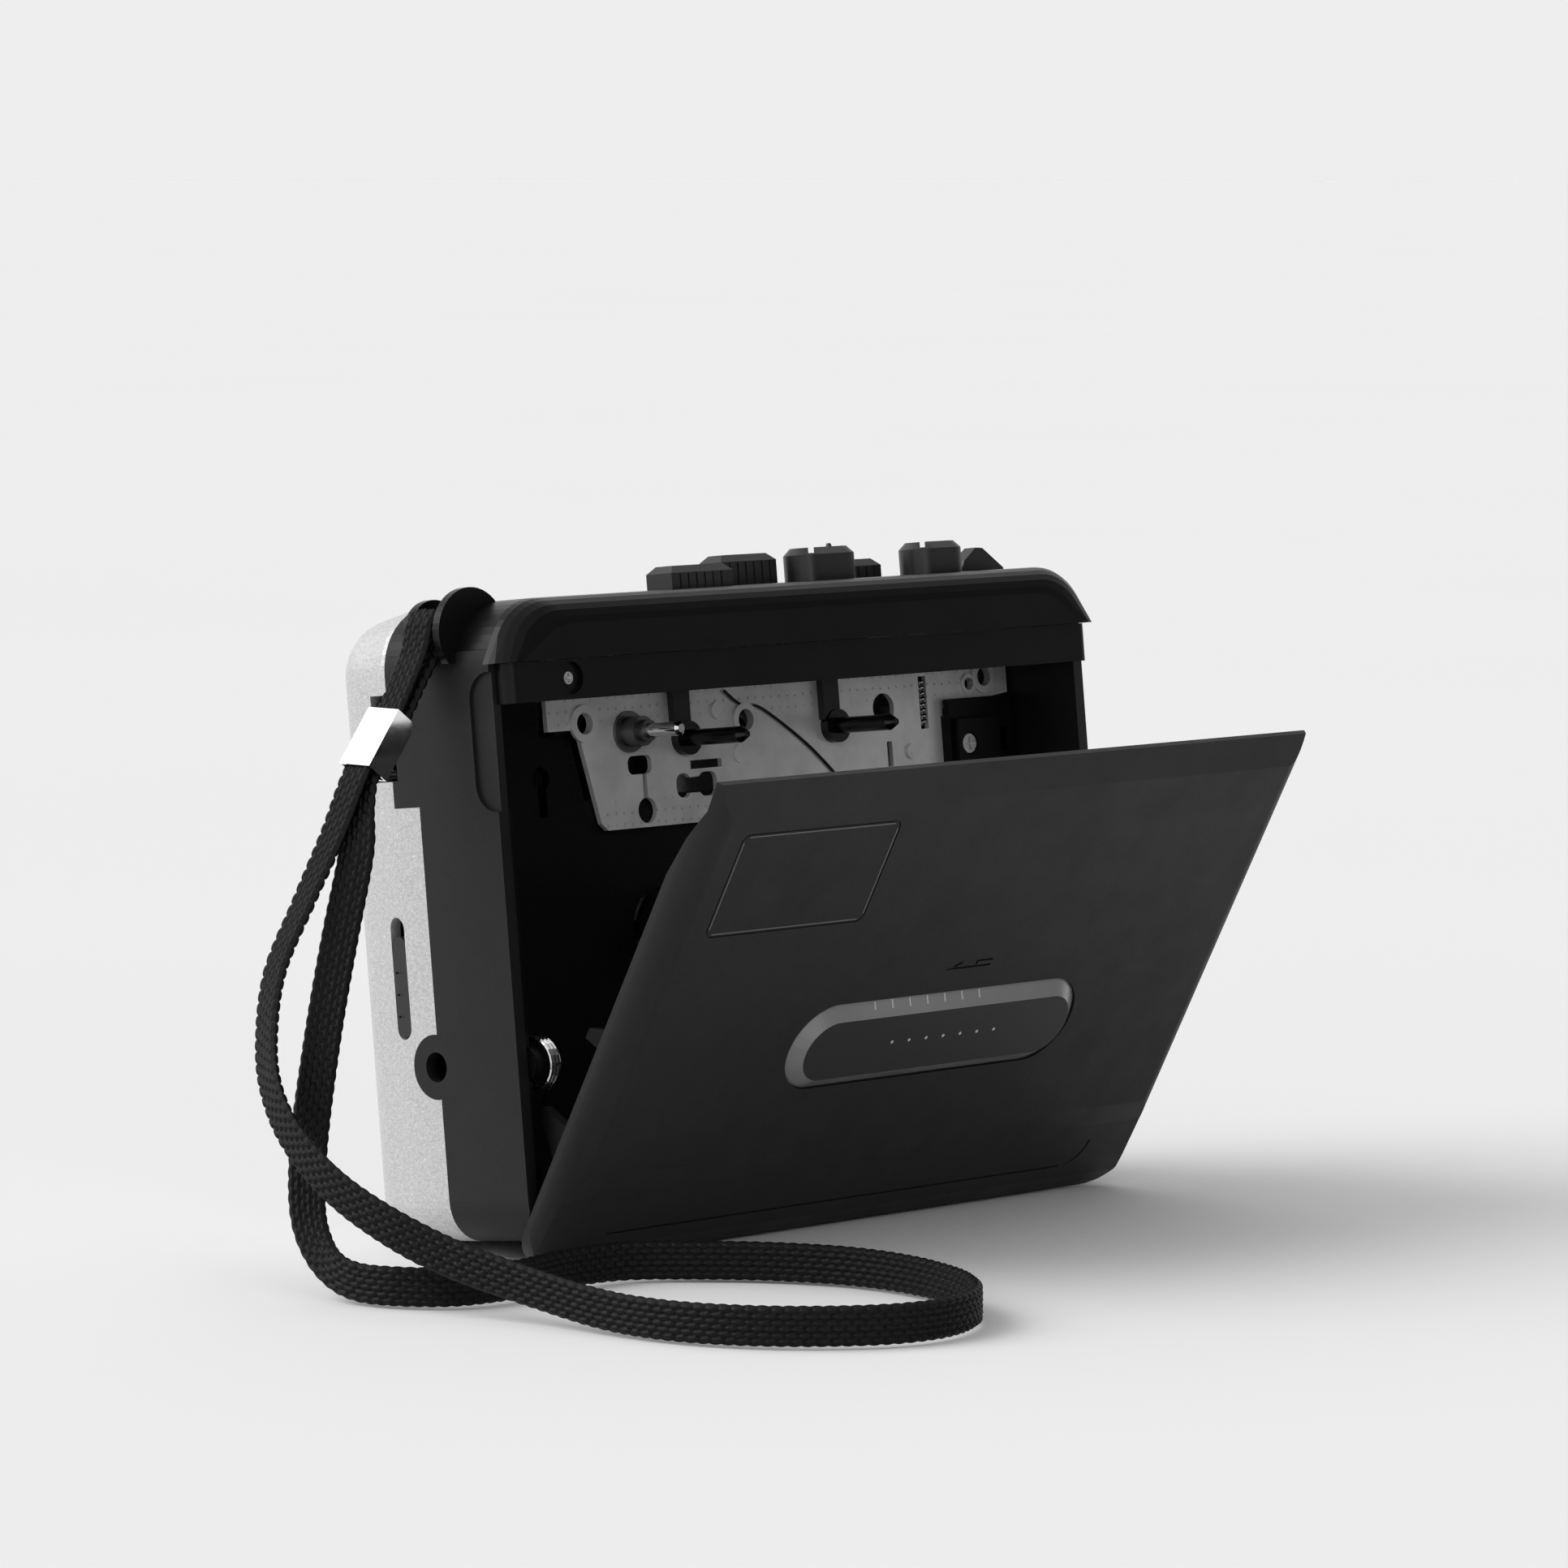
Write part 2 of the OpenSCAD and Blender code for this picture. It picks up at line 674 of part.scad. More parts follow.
module battery_contacts() color([0.8, 0.8, 0.78]) {
    block(51.2, 51.7, 4, 14, 4.4, 14);
    block(-51.7, -51.2, 4, 14, 4.4, 14);
    wire([for (i = [0 : 72]) let (r = 3.9 - i * 0.033)
        [-51.3 + i * 0.045, battery_y + r * cos(i * 15), battery_z + r * sin(i * 15)]], 0.35, 6);
}

module battery_lid() color("silver") difference() {
    across(3.5, 14.3) {
        translate([-49.9, 0]) square([101.8, wall]);
        intersection() {
            difference() {
                translate([51.8, foot_r]) circle(foot_r);
                translate([51.8, foot_r]) circle(foot_r - wall);
            }
            translate([51.7, 0]) square([7, 4.3]);
        }
    }
    // grip ridges
    for (x = [38 : 2 : 46]) block(x, x + 0.8, 5, 13, -1, 0.4);
}

module speaker_frame() color([0.55, 0.55, 0.55]) {
    difference() {
        translate([speaker_x, back_y - 2, speaker_z]) rotate([90, 0, 0]) union() {
            cylinder(h = 1, r = speaker_r);
            cylinder(h = 6, r = 21);
        }
        translate([speaker_x, back_y - 1.9, speaker_z]) rotate([90, 0, 0]) cylinder(h = 5.2, r = 20.2);
    }
    rod_y(speaker_x, speaker_z, 9.5, 8.2, back_y - 7.95);
}

module speaker_cone() color([0.1, 0.1, 0.1])
    translate([speaker_x, back_y - 2.6, speaker_z]) rotate([90, 0, 0])
        rotate_extrude() polygon([[0, 1.6], [5, 1.6], [7, 3.4], [17, 0.4], [19.8, 0.4],
            [19.8, 0.9], [17.2, 0.9], [7, 4], [0, 4]]);

module speaker_grille() color([0.75, 0.75, 0.75]) difference() {
    rod_y(speaker_x, speaker_z, 23.8, back_y - 0.85, back_y - 0.15);
    for (i = [-6 : 6], j = [-7 : 7]) {
        x = i * 3 + (j % 2) * 1.5;
        z = j * 2.6;
        if (x * x + z * z < 20.5 * 20.5) rod_y(speaker_x + x, speaker_z + z, 0.85, 10, 30);
    }
}

module dial_window() color([0.8, 0.85, 0.85, 0.5])
    block(dial_x0 - 1.4, dial_x1 + 1.4, back_y - 0.85, back_y - 0.05, dial_z0 - 1.4, dial_z1 + 1.4);

module dial_scale() color([0.9, 0.9, 0.88])
    block(dial_x0 + 0.2, dial_x1 - 0.2, back_y - 4, back_y - 3.4, dial_z0 + 0.2, dial_z1 - 0.2);

module dial_pointer() color([0.8, 0.15, 0.1]) {
    block(-29, -28.4, back_y - 2.6, back_y - 2, dial_z0 + 1, dial_z1 - 1);
    block(-30, -27.4, back_y - 2.6, back_y - 2, dial_z0 + 0.6, dial_z0 + 1.8);
}

// Knurled wheel on a Y axis
module knurled(x, z, r, y0, y1, bore) difference() {
    rod_y(x, z, r, y0, y1);
    rod_y(x, z, bore, y0 - 1, y1 + 1);
    for (i = [0 : 47]) rotate_about(x, z, i * 7.5)
        block(x + r - 0.3, x + r + 1, y0 - 1, y1 + 1, z - 0.2, z + 0.2);
}

module volume_wheel() color([0.1, 0.1, 0.1]) knurled(wheel_x, wheel_z, wheel_r, 4.3, 7.3, 1.55);
module tuning_wheel() color([0.1, 0.1, 0.1]) knurled(tuner_x, tuner_z, tuner_r, 5, 7.4, 1.55);

module tuning_capacitor() color([0.85, 0.85, 0.8]) {
    block(46, 54, 7.9, 12, 56, 68);
    rod_y(tuner_x, tuner_z, 1.5, 5.2, 7.9);
}

module ferrite_antenna() color([0.2, 0.18, 0.17]) {
    rod_x(14.7, 69.6, 2.2, -44, -12);
    difference() {
        rod_x(14.7, 69.6, 2.8, -26, -16);
        rod_x(14.7, 69.6, 2.2, -27, -15);
    }
}

module output_switch() color([0.15, 0.15, 0.15]) difference() {
    hull() for (z = [switch_z0 + 1.7, switch_z1 - 4])
        rod_x(switch_y, z, 1.35, -half_w + 0.3, -half_w + 2);
    for (z = [switch_z0 + 3, switch_z0 + 6, switch_z0 + 9])
        block(-half_w - 1, -half_w + 0.5, switch_y - 0.2, switch_y + 1, z, z + 0.3);
}

module dc_jack() color([0.1, 0.1, 0.1]) {
    x0 = -half_w + wall + 0.05;
    difference() {
        block(x0, x0 + 9, jack_y - 2.9, jack_y + 3.2, jack_z - 3.4, jack_z + 3.4);
        rod_x(jack_y, jack_z, 2.05, x0 - 1, x0 + 8);
    }
    rod_x(jack_y, jack_z, 0.6, x0 + 0.6, x0 + 8.2);
}

module headphone_jack() color([0.12, 0.12, 0.12]) {
    x1 = half_w - wall - 0.45;
    difference() {
        block(x1 - 13, x1, phones_y - 3.4, phones_y + 3.4, phones_z - 3.4, phones_z + 3.4);
        rod_x(phones_y, phones_z, 1.8, x1 - 20, x1 + 1);
    }
}

// ---------- keys ----------

// Slanting groove across a key's top that the finger can feel
module index_groove(x, y, offset, top) {
    translate([x, y, top - 0.8]) rotate([0, 0, 44.3]) translate([-15, -offset - 0.4, 0]) cube([30, 0.8, 3]);
}

// Key with a chamfered top, a foot under the cover and a shallow index groove
module key(i, groove) {
    k = KEYS[i];
    z0 = 83.3;
    mid = (k[0] + k[1]) / 2;
    difference() {
        union() {
            block(k[0], k[1], k[2], k[3], z0, k[4] - 1);
            hull() {
                block(k[0], k[1], k[2], k[3], k[4] - 1.1, k[4] - 1);
                block(k[0] + 1.1, k[1] - 1.1, k[2] + 0.9, k[3] - 0.9, k[4] - 0.1, k[4]);
            }
            block(k[0] - 1.2, k[1] + 1.2, k[2] - 0.7, k[3] + 0.7, z0, z0 + 1);
        }
        if (groove) index_groove(mid, (k[2] + k[3]) / 2, 1.9, k[4]);
        for (x = [k[0] + 1.5 : 1.6 : k[1] - 1])
            block(x, x + 0.3, k[2] - 1, k[2] + 0.15, 86.6, k[4] - 1.1);
    }
}

// Key with rounded ends and the same foot
module round_key(i) {
    k = KEYS[i];
    z0 = 83.3;
    r = (k[3] - k[2]) / 2;
    mid = (k[0] + k[1]) / 2;
    difference() {
        union() {
            translate([0, 0, z0]) linear_extrude(k[4] - 1 - z0) round_rect(k[0], k[1], k[2], k[3], r - 0.01);
            hull() {
                translate([0, 0, k[4] - 1.1]) linear_extrude(0.1) round_rect(k[0], k[1], k[2], k[3], r - 0.01, $fn = 32);
                translate([0, 0, k[4] - 0.1]) linear_extrude(0.1)
                    round_rect(k[0] + 1, k[1] - 1, k[2] + 1, k[3] - 1, r - 1.01, $fn = 32);
            }
            block(k[0], k[1], k[2] - 0.7, k[3] + 0.7, z0, z0 + 1);
        }
        index_groove(mid, (k[2] + k[3]) / 2, -1, k[4]);
    }
}

module record_key() color([0.13, 0.13, 0.13]) key(0, true);
module rewind_key() color([0.13, 0.13, 0.13]) key(1, false);
module play_key() color([0.13, 0.13, 0.13]) {
    round_key(2);
    translate([15.2, -9.6, 91.2]) cylinder(h = 0.6, r1 = 0.5, r2 = 0.3, $fn = 24);
}
module forward_key() color([0.13, 0.13, 0.13]) key(3, false);
module stop_key() color([0.13, 0.13, 0.13]) round_key(4);

module pause_slider() color([0.13, 0.13, 0.13]) {
    across(-9.3, -7.1) polygon([[42.2, 83.5], [51.6, 83.5], [51.6, 86.9], [47.4, 89.9], [46, 90],
        [43.4, 88.2], [42.2, 86]]);
    block(41.8, 50.5, -10.4, -6, 82.8, 83.8);
}

// ---------- door, drawn closed ----------

module door_profile(inset) {
    f = door_face_y + inset;
    polygon([[f + 1.6, door_tip_z - inset * 0.2], [f, door_crease_z], [f, 16.2], [f + 1, 12.2],
        [f + 1.3, 8.7], [f + 1.5, 5.7], [f + 1.9, 2.7 + inset * 0.4], [f + 2.6, 0.7 + inset * 0.7],
        [f + 3.1, -0.25 + inset * 0.9], [f + 4.1, -0.5 + inset], [-10, -0.5 + inset],
        [-10, door_tip_z - inset * 0.2]]);
}

// Front outline of the door
module door_outline(inset) {
    w = half_w - inset;
    r = foot_r - inset;
    translate([-w, 5.5]) square([2 * w, 80]);
    translate([-w + r, inset - 0.5]) square([2 * (w - r), 20]);
    for (s = [-1, 1]) translate([s * (w - r), r + inset - 0.5]) circle(r);
}

// Plan outline of the door: rounded front corners
module door_plan(inset) {
    w = half_w - inset;
    f = door_face_y + inset;
    r = 3.6 - inset * 0.6;
    translate([-w, f + r]) square([2 * w, 20]);
    translate([-w + r, f]) square([2 * (w - r), 20]);
    for (s = [-1, 1]) translate([s * (w - r), f + r]) circle(r);
}

module door_solid(inset) intersection() {
    along(-70, 70) door_profile(inset);
    across(-40, 0) door_outline(inset);
    translate([0, 0, -2]) linear_extrude(100) door_plan(inset);
}

module window_hole(grow, y0, y1) {
    across(y0, y1) round_rect(-26.2 - grow, 30.6 + grow, window_z - 6.9 - grow,
        window_z + 6.9 + grow, 6.89 + grow);
}

module door_panel() color([0.2, 0.2, 0.2]) {
    flange_y = door_face_y + door_depth;
    difference() {
        intersection() {
            door_solid(0);
            // the flanges narrow towards the lip, which closes over the head cover
            along(-70, 70) polygon([[-30, -2], [flange_y, -2], [flange_y, 62],
                [door_face_y + 3.6, 68], [door_face_y + 2.2, door_crease_z],
                [door_face_y + 2.45, door_tip_z + 0.5], [-30, door_tip_z + 0.5]]);
        }
        difference() {
            door_solid(door_skin);
            block(-70, 70, -30, 0, door_crease_z - 1, 90);
        }
        // inside of the lip
        along(-half_w + 1.2, half_w - 1.2) polygon([[door_face_y + door_skin, door_crease_z - 1.05],
            [door_face_y + 1.15, door_crease_z], [door_face_y + 2.75, door_tip_z + 0.4],
            [0, door_tip_z + 0.4], [0, door_crease_z - 1.05]]);
        // window opening
        window_hole(0, -30, 0);
        // label recess
        across(-30, door_face_y + 0.15) round_rect(-52.4, -22.2, 54.2, 70.4, 1.4);
        // groove along the lower edge that turns up at its right end
        block(-46, 44.6, door_face_y, door_face_y + 1.75, 4.9, 5.3);
        intersection() {
            ring(44.6, 9.4, 4.5, 4.1, -30, door_face_y + 1.6);
            block(44.6, 60, -30, 0, 0, 9.4);
        }
        // arrow that shows the tape's direction
        across(-30, door_face_y + 0.25) {
            translate([0.4, 44.2]) square([8, 0.35]);
            polygon([[-0.7, 44.2], [2.4, 45.5], [2.4, 45.1], [0.4, 44.2]]);
            translate([5.2, 44.2]) square([0.35, 1]);
            translate([5.2, 45.1]) square([3.2, 0.35]);
        }
    }
}

module door_window() color([0.75, 0.78, 0.78, 0.5]) {
    window_hole(-0.05, door_face_y + 0.5, door_face_y + 1.5);
    window_hole(1.6, door_face_y + door_skin + 0.03, door_face_y + door_skin + 1);
    // raised lens with a bevelled rim
    hull() {
        window_hole(-0.05, door_face_y + 0.4, door_face_y + 0.55);
        window_hole(-2.2, door_face_y - 1.2, door_face_y - 1.1);
    }
}

module door_label() color([0.16, 0.16, 0.16])
    across(door_face_y + 0.02, door_face_y + 0.15) round_rect(-52.2, -22.4, 54.4, 70.2, 1.3);

module cassette_holder() color([0.1, 0.1, 0.1]) {
    y0 = door_face_y + door_skin + 0.05;
    // plate behind the door's skin, open around the window
    across(y0, y0 + 0.5) difference() {
        translate([-54.6, 16.8]) square([109.2, 43.2]);
        translate([-30, 22]) square([65, 24]);
    }
    // side guides with the tabs that hold the cassette
    mirrored() along(53.4, 54.6) polygon([[-19.3, 10], [-18.1, 10], [-18.1, 13], [-19.4, 17.5], [-19.7, 31.8], [-11.4, 31.8],
        [-11.4, 33.4], [-14, 34.8], [-18.8, 34.8], [-18.8, 37], [-15.2, 37.6], [-14.2, 43.9],
        [-16.6, 46.5], [-18.8, 46.5], [-18.8, 60], [y0, 60], [y0, 16.6], [-19.6, 12.4]]);
    // arms that turn on the hinge pins
    mirrored() along(54.5, 55.9) difference() {
        union() {
            polygon([[-19.2, 10], [-19.5, 13], [-20.2, 17], [-20.2, 20], [-15.4, 20], [-10.2, 20], [-10.2, 18.6], [-15.4, 14.4],
                [-9.4, 8.6], [-9.4, 5.6], [-13, 5.6], [-17.6, 10]]);
            translate([hinge_y, hinge_z]) circle(2.3);
        }
        translate([hinge_y, hinge_z]) circle(hinge_pin_r + 0.06);
    }
    // cassette rest and two leaf springs
    block(-53.5, 53.5, -19.3, -16.8, 10, 11);
    for (x = [-20, 28]) along(x, x + 5)
        polygon([[y0 + 0.3, 46.8], [y0 + 0.3, 48], [-17.8, 55], [-17.8, 54.2]]);
}

module hinge_pins() color([0.8, 0.8, 0.8])
    mirrored() rod_x(hinge_y, hinge_z, hinge_pin_r, 53.8, half_w - 0.7);

// Torsion spring on its post: a leg down to the hinge, the coil, a leg to the deck
SPRING = concat(
    [[-53.65, spring_y + 0.8, spring_z - 5.6], [-53.7, spring_y - 1.6, spring_z - 3.2]],
    [for (i = [0 : 57]) [-53.75 - i * 0.0265, spring_y + 3.4 * cos(225 - i * 15),
        spring_z + 3.4 * sin(225 - i * 15)]],
    [[-55.28, spring_y + 1.2, spring_z + 3.4], [-55.28, spring_y + 4, spring_z + 3.4]]);

module door_spring() color([0.85, 0.85, 0.85]) wire(SPRING, 0.3, 8);

// ---------- fasteners ----------

module screw(x, z, y0, r, h) difference() {
    union() {
        rod_y(x, z, r, y0, y0 + 0.6);
        rod_y(x, z, r * 0.5, y0 + 0.6, y0 + h);
    }
    block(x - r * 0.7, x + r * 0.7, y0 - 1, y0 + 0.3, z - 0.15, z + 0.15);
    block(x - 0.15, x + 0.15, y0 - 1, y0 + 0.3, z - r * 0.7, z + r * 0.7);
}

module case_screws() color([0.5, 0.5, 0.5]) {
    screw(45, 61.8, -6.2, 1.4, 1.6);
    screw(-46.3, 75.4, band_y + 0.6, 0.85, 1.2);
    for (x = [-50, 50]) screw(x, 13, liner_y0 - 0.65, 1.6, 0.64);
}

// ---------- strap ----------

module strap_bar() color([0.7, 0.7, 0.7]) rod_y(bar_x, bar_z, bar_r, lug_y0 + 0.4, lug_y3 - 0.4);

// Route of the wrist strap above the ground in millimetres, and the way its width points
AT_BAR = [0, -0.99, 0.1];
UPRIGHT = [0, 0, 1];
ROUTE = [
    [[-57.9, 15.3, 86.8], AT_BAR], [[-58.1, 15.3, 85], AT_BAR], [[-60.4, 15.1, 81.5], AT_BAR],
    [[-63.3, 14.8, 77.7], AT_BAR], [[-66, 14.5, 73.9], AT_BAR], [[-68.9, 14.6, 70], AT_BAR],
    [[-71.9, 14.6, 66], AT_BAR], [[-74.2, 13.4, 61.5], [0.2, -0.98, 0]],
    [[-75.9, 12, 56.5], [0.4, -0.9, 0]], [[-79, 11.6, 46.5], [0.5, -0.85, 0]],
    [[-82, 10.6, 38.5], [0.5, -0.85, 0]], [[-85, 9.2, 31], [0.5, -0.85, 0]],
    [[-88, 7.8, 22.1], [0.55, -0.8, 0.05]], [[-90, 6.4, 15.5], [0.55, -0.75, 0.2]],
    [[-91.4, 4.6, 10], [0.45, -0.6, 0.55]], [[-92.3, 1.6, 6.2], [0.3, -0.4, 0.8]],
    [[-92.8, -2.2, 3.8], [0.1, -0.1, 1]], [[-92.6, -6.5, 2.8], UPRIGHT],
    [[-91, -12, 2.7], UPRIGHT], [[-86, -17.6, 2.7], UPRIGHT], [[-77, -19, 2.7], UPRIGHT],
    [[-66, -17, 2.7], UPRIGHT], [[-55.5, -18, 2.7], UPRIGHT], [[-47.5, -25, 2.7], UPRIGHT],
    [[-41.5, -33, 2.7], UPRIGHT], [[-37.8, -42, 2.7], UPRIGHT], [[-37.2, -51, 2.7], UPRIGHT],
    [[-39, -60, 2.7], UPRIGHT], [[-43, -69, 2.7], UPRIGHT], [[-50, -76.5, 2.7], UPRIGHT],
    [[-59, -80, 2.7], UPRIGHT], [[-68, -78.6, 2.7], UPRIGHT], [[-76.5, -72.5, 2.7], UPRIGHT],
    [[-82.6, -64.5, 2.7], UPRIGHT], [[-85.8, -55, 2.7], UPRIGHT], [[-86.8, -45, 3.1], UPRIGHT],
    [[-88.2, -33, 4.9], UPRIGHT], [[-91, -22.2, 7.5], [0.1, 0, 1]],
    [[-94, -13.4, 11.2], [0.05, -0.1, 1]], [[-95.4, -4.6, 15.6], [0, -0.3, 0.95]],
    [[-95.2, 3.4, 21], [-0.1, -0.6, 0.8]], [[-93.6, 9.2, 26.4], [-0.2, -0.8, 0.5]],
    [[-90.6, 13.6, 32.5], [-0.25, -0.95, 0.2]], [[-86.4, 16.6, 41], [-0.25, -0.95, 0]],
    [[-81.4, 16.4, 50], [-0.2, -0.97, 0]], [[-77, 15.4, 58.8], [-0.1, -1, 0]],
    [[-73.5, 14.8, 66.5], AT_BAR], [[-70.1, 14.7, 71], AT_BAR], [[-67.2, 14.6, 74.9], AT_BAR],
    [[-64.7, 14.8, 78.8], AT_BAR], [[-62.4, 15.1, 82.6], AT_BAR], [[-61.2, 15.3, 86.2], AT_BAR],
    [[-59.9, 15.3, 87.8], AT_BAR]
];

// Keeps the route at the bar wherever the body is centred
STRAP_SHIFT = [lean_side, lean_shift - 12.6, 0];

// Smooth value between the second and third of four neighbours
function spline(p, q, r, s, t) = 0.5 * (2 * q + (r - p) * t + (2 * p - 5 * q + 4 * r - s) * t * t
    + (3 * q - p - 3 * r + s) * t * t * t);
function row(k) = ROUTE[max(0, min(k, len(ROUTE) - 1))];
function route_at(u, i) = let (k = min(floor(u), len(ROUTE) - 2))
    spline(row(k - 1)[i], row(k)[i], row(k + 1)[i], row(k + 2)[i], u - k);
function unit(v) = v / norm(v);

// Ring of the webbing: its width along `wide`, its thickness across
function strap_ring(p, dir, wide) = let (
        flat = unit(cross(dir, wide)),
        tall = unit(cross(flat, dir)),
        w = strap_w / 2,
        h = strap_t / 2)
    [for (c = [[1, -0.8], [1, 0.8], [0.4, 1], [-0.4, 1], [-1, 0.8], [-1, -0.8], [-0.4, -1], [0.4, -1]])
        p + flat * h * c[0] + tall * w * c[1]];

module wrist_strap() color([0.08, 0.08, 0.08]) translate(STRAP_SHIFT) {
    n = 76;
    top = len(ROUTE) - 1;
    swept([for (i = [0 : n - 1]) let (u = top * i / (n - 1))
        strap_ring(route_at(u, 0),
            unit(route_at(min(u + 0.05, top), 0) - route_at(max(u - 0.05, 0), 0)), route_at(u, 1))]);
}

// Metal sleeve that holds both layers of the webbing together
module strap_clip() color([0.85, 0.85, 0.85])
    translate(STRAP_SHIFT + [-69.55, 14.65, 70.5]) rotate([0, 36.8, 0]) difference() {
        cube([3.9, 5.9, 9], center = true);
        cube([3.3, 5.3, 10], center = true);
    }

leaned() front_casing();
leaned() rear_shell();
leaned() top_cover();
leaned() head_cover();
leaned() compartment_liner();
leaned() chassis_plate();
leaned() mechanism_cover();
leaned() case_screws();
leaned() guide_pins();
leaned() capstan_bearing();
leaned() slot_spring();
leaned() record_play_head();
leaned() erase_head();
leaned() head_base();
leaned() pinch_arm();
leaned() pinch_roller();
leaned() capstan_shaft();
leaned() flywheel();
leaned() drive_belt();
leaned() motor();
leaned() motor_pulley();
leaned() takeup_spindle();
leaned() takeup_gear();
leaned() supply_spindle();
leaned() supply_gear();
leaned() idler_gear();
leaned() mechanism_bracket();
leaned() circuit_board();
leaned() board_parts();
leaned() battery_tray();
leaned() battery_contacts();
leaned() battery_lid();
leaned() speaker_frame();
leaned() speaker_cone();
leaned() speaker_grille();
leaned() dial_window();
leaned() dial_scale();
leaned() dial_pointer();
leaned() tuning_wheel();
leaned() tuning_capacitor();
leaned() ferrite_antenna();
leaned() volume_wheel();
leaned() output_switch();
leaned() dc_jack();
leaned() headphone_jack();
leaned() record_key();
leaned() rewind_key();
leaned() play_key();
leaned() forward_key();
leaned() stop_key();
leaned() pause_slider();
leaned() opened() door_panel();
leaned() opened() door_window();
leaned() opened() door_label();
leaned() opened() cassette_holder();
leaned() hinge_pins();
leaned() door_spring();
leaned() strap_bar();
wrist_strap();
strap_clip();
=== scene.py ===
import json
import math

import bmesh
import bpy
from mathutils import Matrix, Vector
from mathutils.bvhtree import BVHTree


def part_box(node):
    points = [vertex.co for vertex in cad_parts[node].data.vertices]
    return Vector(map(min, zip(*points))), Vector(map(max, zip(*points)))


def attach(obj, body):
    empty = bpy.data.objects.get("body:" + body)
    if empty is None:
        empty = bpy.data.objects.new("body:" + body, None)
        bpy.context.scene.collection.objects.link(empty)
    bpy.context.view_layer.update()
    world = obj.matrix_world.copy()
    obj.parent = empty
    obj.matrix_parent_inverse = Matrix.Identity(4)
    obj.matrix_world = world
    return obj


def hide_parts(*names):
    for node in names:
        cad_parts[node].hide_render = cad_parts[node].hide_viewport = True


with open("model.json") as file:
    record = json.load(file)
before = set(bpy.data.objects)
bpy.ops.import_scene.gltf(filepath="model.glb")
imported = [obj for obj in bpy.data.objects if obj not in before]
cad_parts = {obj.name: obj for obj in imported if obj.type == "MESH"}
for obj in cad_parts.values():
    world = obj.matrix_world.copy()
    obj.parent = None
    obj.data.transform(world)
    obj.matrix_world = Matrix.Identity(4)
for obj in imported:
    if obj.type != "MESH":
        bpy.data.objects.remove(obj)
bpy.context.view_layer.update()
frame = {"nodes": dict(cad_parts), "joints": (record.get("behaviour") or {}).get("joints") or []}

MM = 0.001

# ---------- places ----------
# The body leans back on its open door. Player coordinates are millimetres, with
# Z up the body and Y towards the speaker side. PLAYER takes them to the frame.
# DOOR does so for points of the door, which are given as if it were closed.
LEAN = math.radians(6)
OPEN = math.radians(34.5)
HINGE = Vector((0, -11.2, 7.2))
STAND_AHEAD = 12.6   # how far STAND lies on the door side of the player's origin

hinge_joint = next(joint for joint in frame["joints"] if joint["name"] == "door_hinge")
lean = Matrix.Rotation(-LEAN, 4, "X")
origin = Vector(hinge_joint["pos_m"]) / MM - lean @ HINGE
pins_low, pins_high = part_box("hinge_pins")
origin.x = (pins_low[0] + pins_high[0]) / 2 / MM
PLAYER = Matrix.Scale(MM, 4) @ Matrix.Translation(origin) @ lean
DOOR = (PLAYER @ Matrix.Translation(HINGE) @ Matrix.Rotation(OPEN, 4, "X")
        @ Matrix.Translation(-HINGE))
DOOR_ACROSS = (DOOR.to_3x3() @ Vector((1, 0, 0))).normalized()
DOOR_OUT = (DOOR.to_3x3() @ Vector((0, -1, 0))).normalized()

# Point of the ground, in millimetres, from which the camera and the strap are placed.
STAND = Vector((origin.x, origin.y - STAND_AHEAD, 0))

# ---------- camera ----------
# It stands at the player's front left, about a metre away, and looks down at 5 degrees.
CAMERA_AT = Vector((-713.67, -689.94, 149.06))
LOOK_ALONG = Vector((0.71289, 0.69578, -0.08769))
LENS_MM = 164.2174
SENSOR_MM = 36
NEAREST_SEEN = 0.01


def camera():
    data = bpy.data.cameras.new("camera")
    data.sensor_width = SENSOR_MM
    data.lens = LENS_MM
    data.clip_start = NEAREST_SEEN
    obj = bpy.data.objects.new("camera", data)
    bpy.context.collection.objects.link(obj)
    obj.location = (STAND + CAMERA_AT) * MM
    obj.rotation_euler = LOOK_ALONG.normalized().to_track_quat("-Z", "Y").to_euler()
    bpy.context.scene.camera = obj


# ---------- material helpers ----------
# Scales are per metre, bump depths are in metres.
PLASTIC_DEPTH = 0.00006
METAL_DEPTH = 0.00004
PRESSED_DEPTH = 0.00008
# Colour sockets of a Mix node, by number because several share a name.
MIX_A, MIX_B, MIX_RESULT = 6, 7, 2


def setup(name):
    material = bpy.data.materials.new(name)
    material.use_nodes = True
    tree = material.node_tree
    return material, tree, tree.nodes["Principled BSDF"]


def node(tree, kind, **values):
    """New node whose sockets or properties take the given values."""
    made = tree.nodes.new(kind)
    for key, value in values.items():
        if key in made.inputs.keys():
            made.inputs[key].default_value = value
        else:
            setattr(made, key, value)
    return made


def coords(tree, stretch=(1, 1, 1)):
    place = tree.nodes.new("ShaderNodeTexCoord")
    mapping = node(tree, "ShaderNodeMapping", Scale=stretch)
    tree.links.new(place.outputs["Object"], mapping.inputs["Vector"])
    return mapping.outputs["Vector"]


def noise(tree, vector, scale, detail=3, rough=0.5):
    made = node(tree, "ShaderNodeTexNoise", Scale=scale, Detail=detail, Roughness=rough)
    tree.links.new(vector, made.inputs["Vector"])
    return made.outputs["Fac"]


def rgb(tone):
    """A grey level or a colour, as three numbers."""
    return tuple(tone) if hasattr(tone, "__len__") else (tone, tone, tone)


def times(colour, factor):
    return tuple(channel * factor for channel in colour)


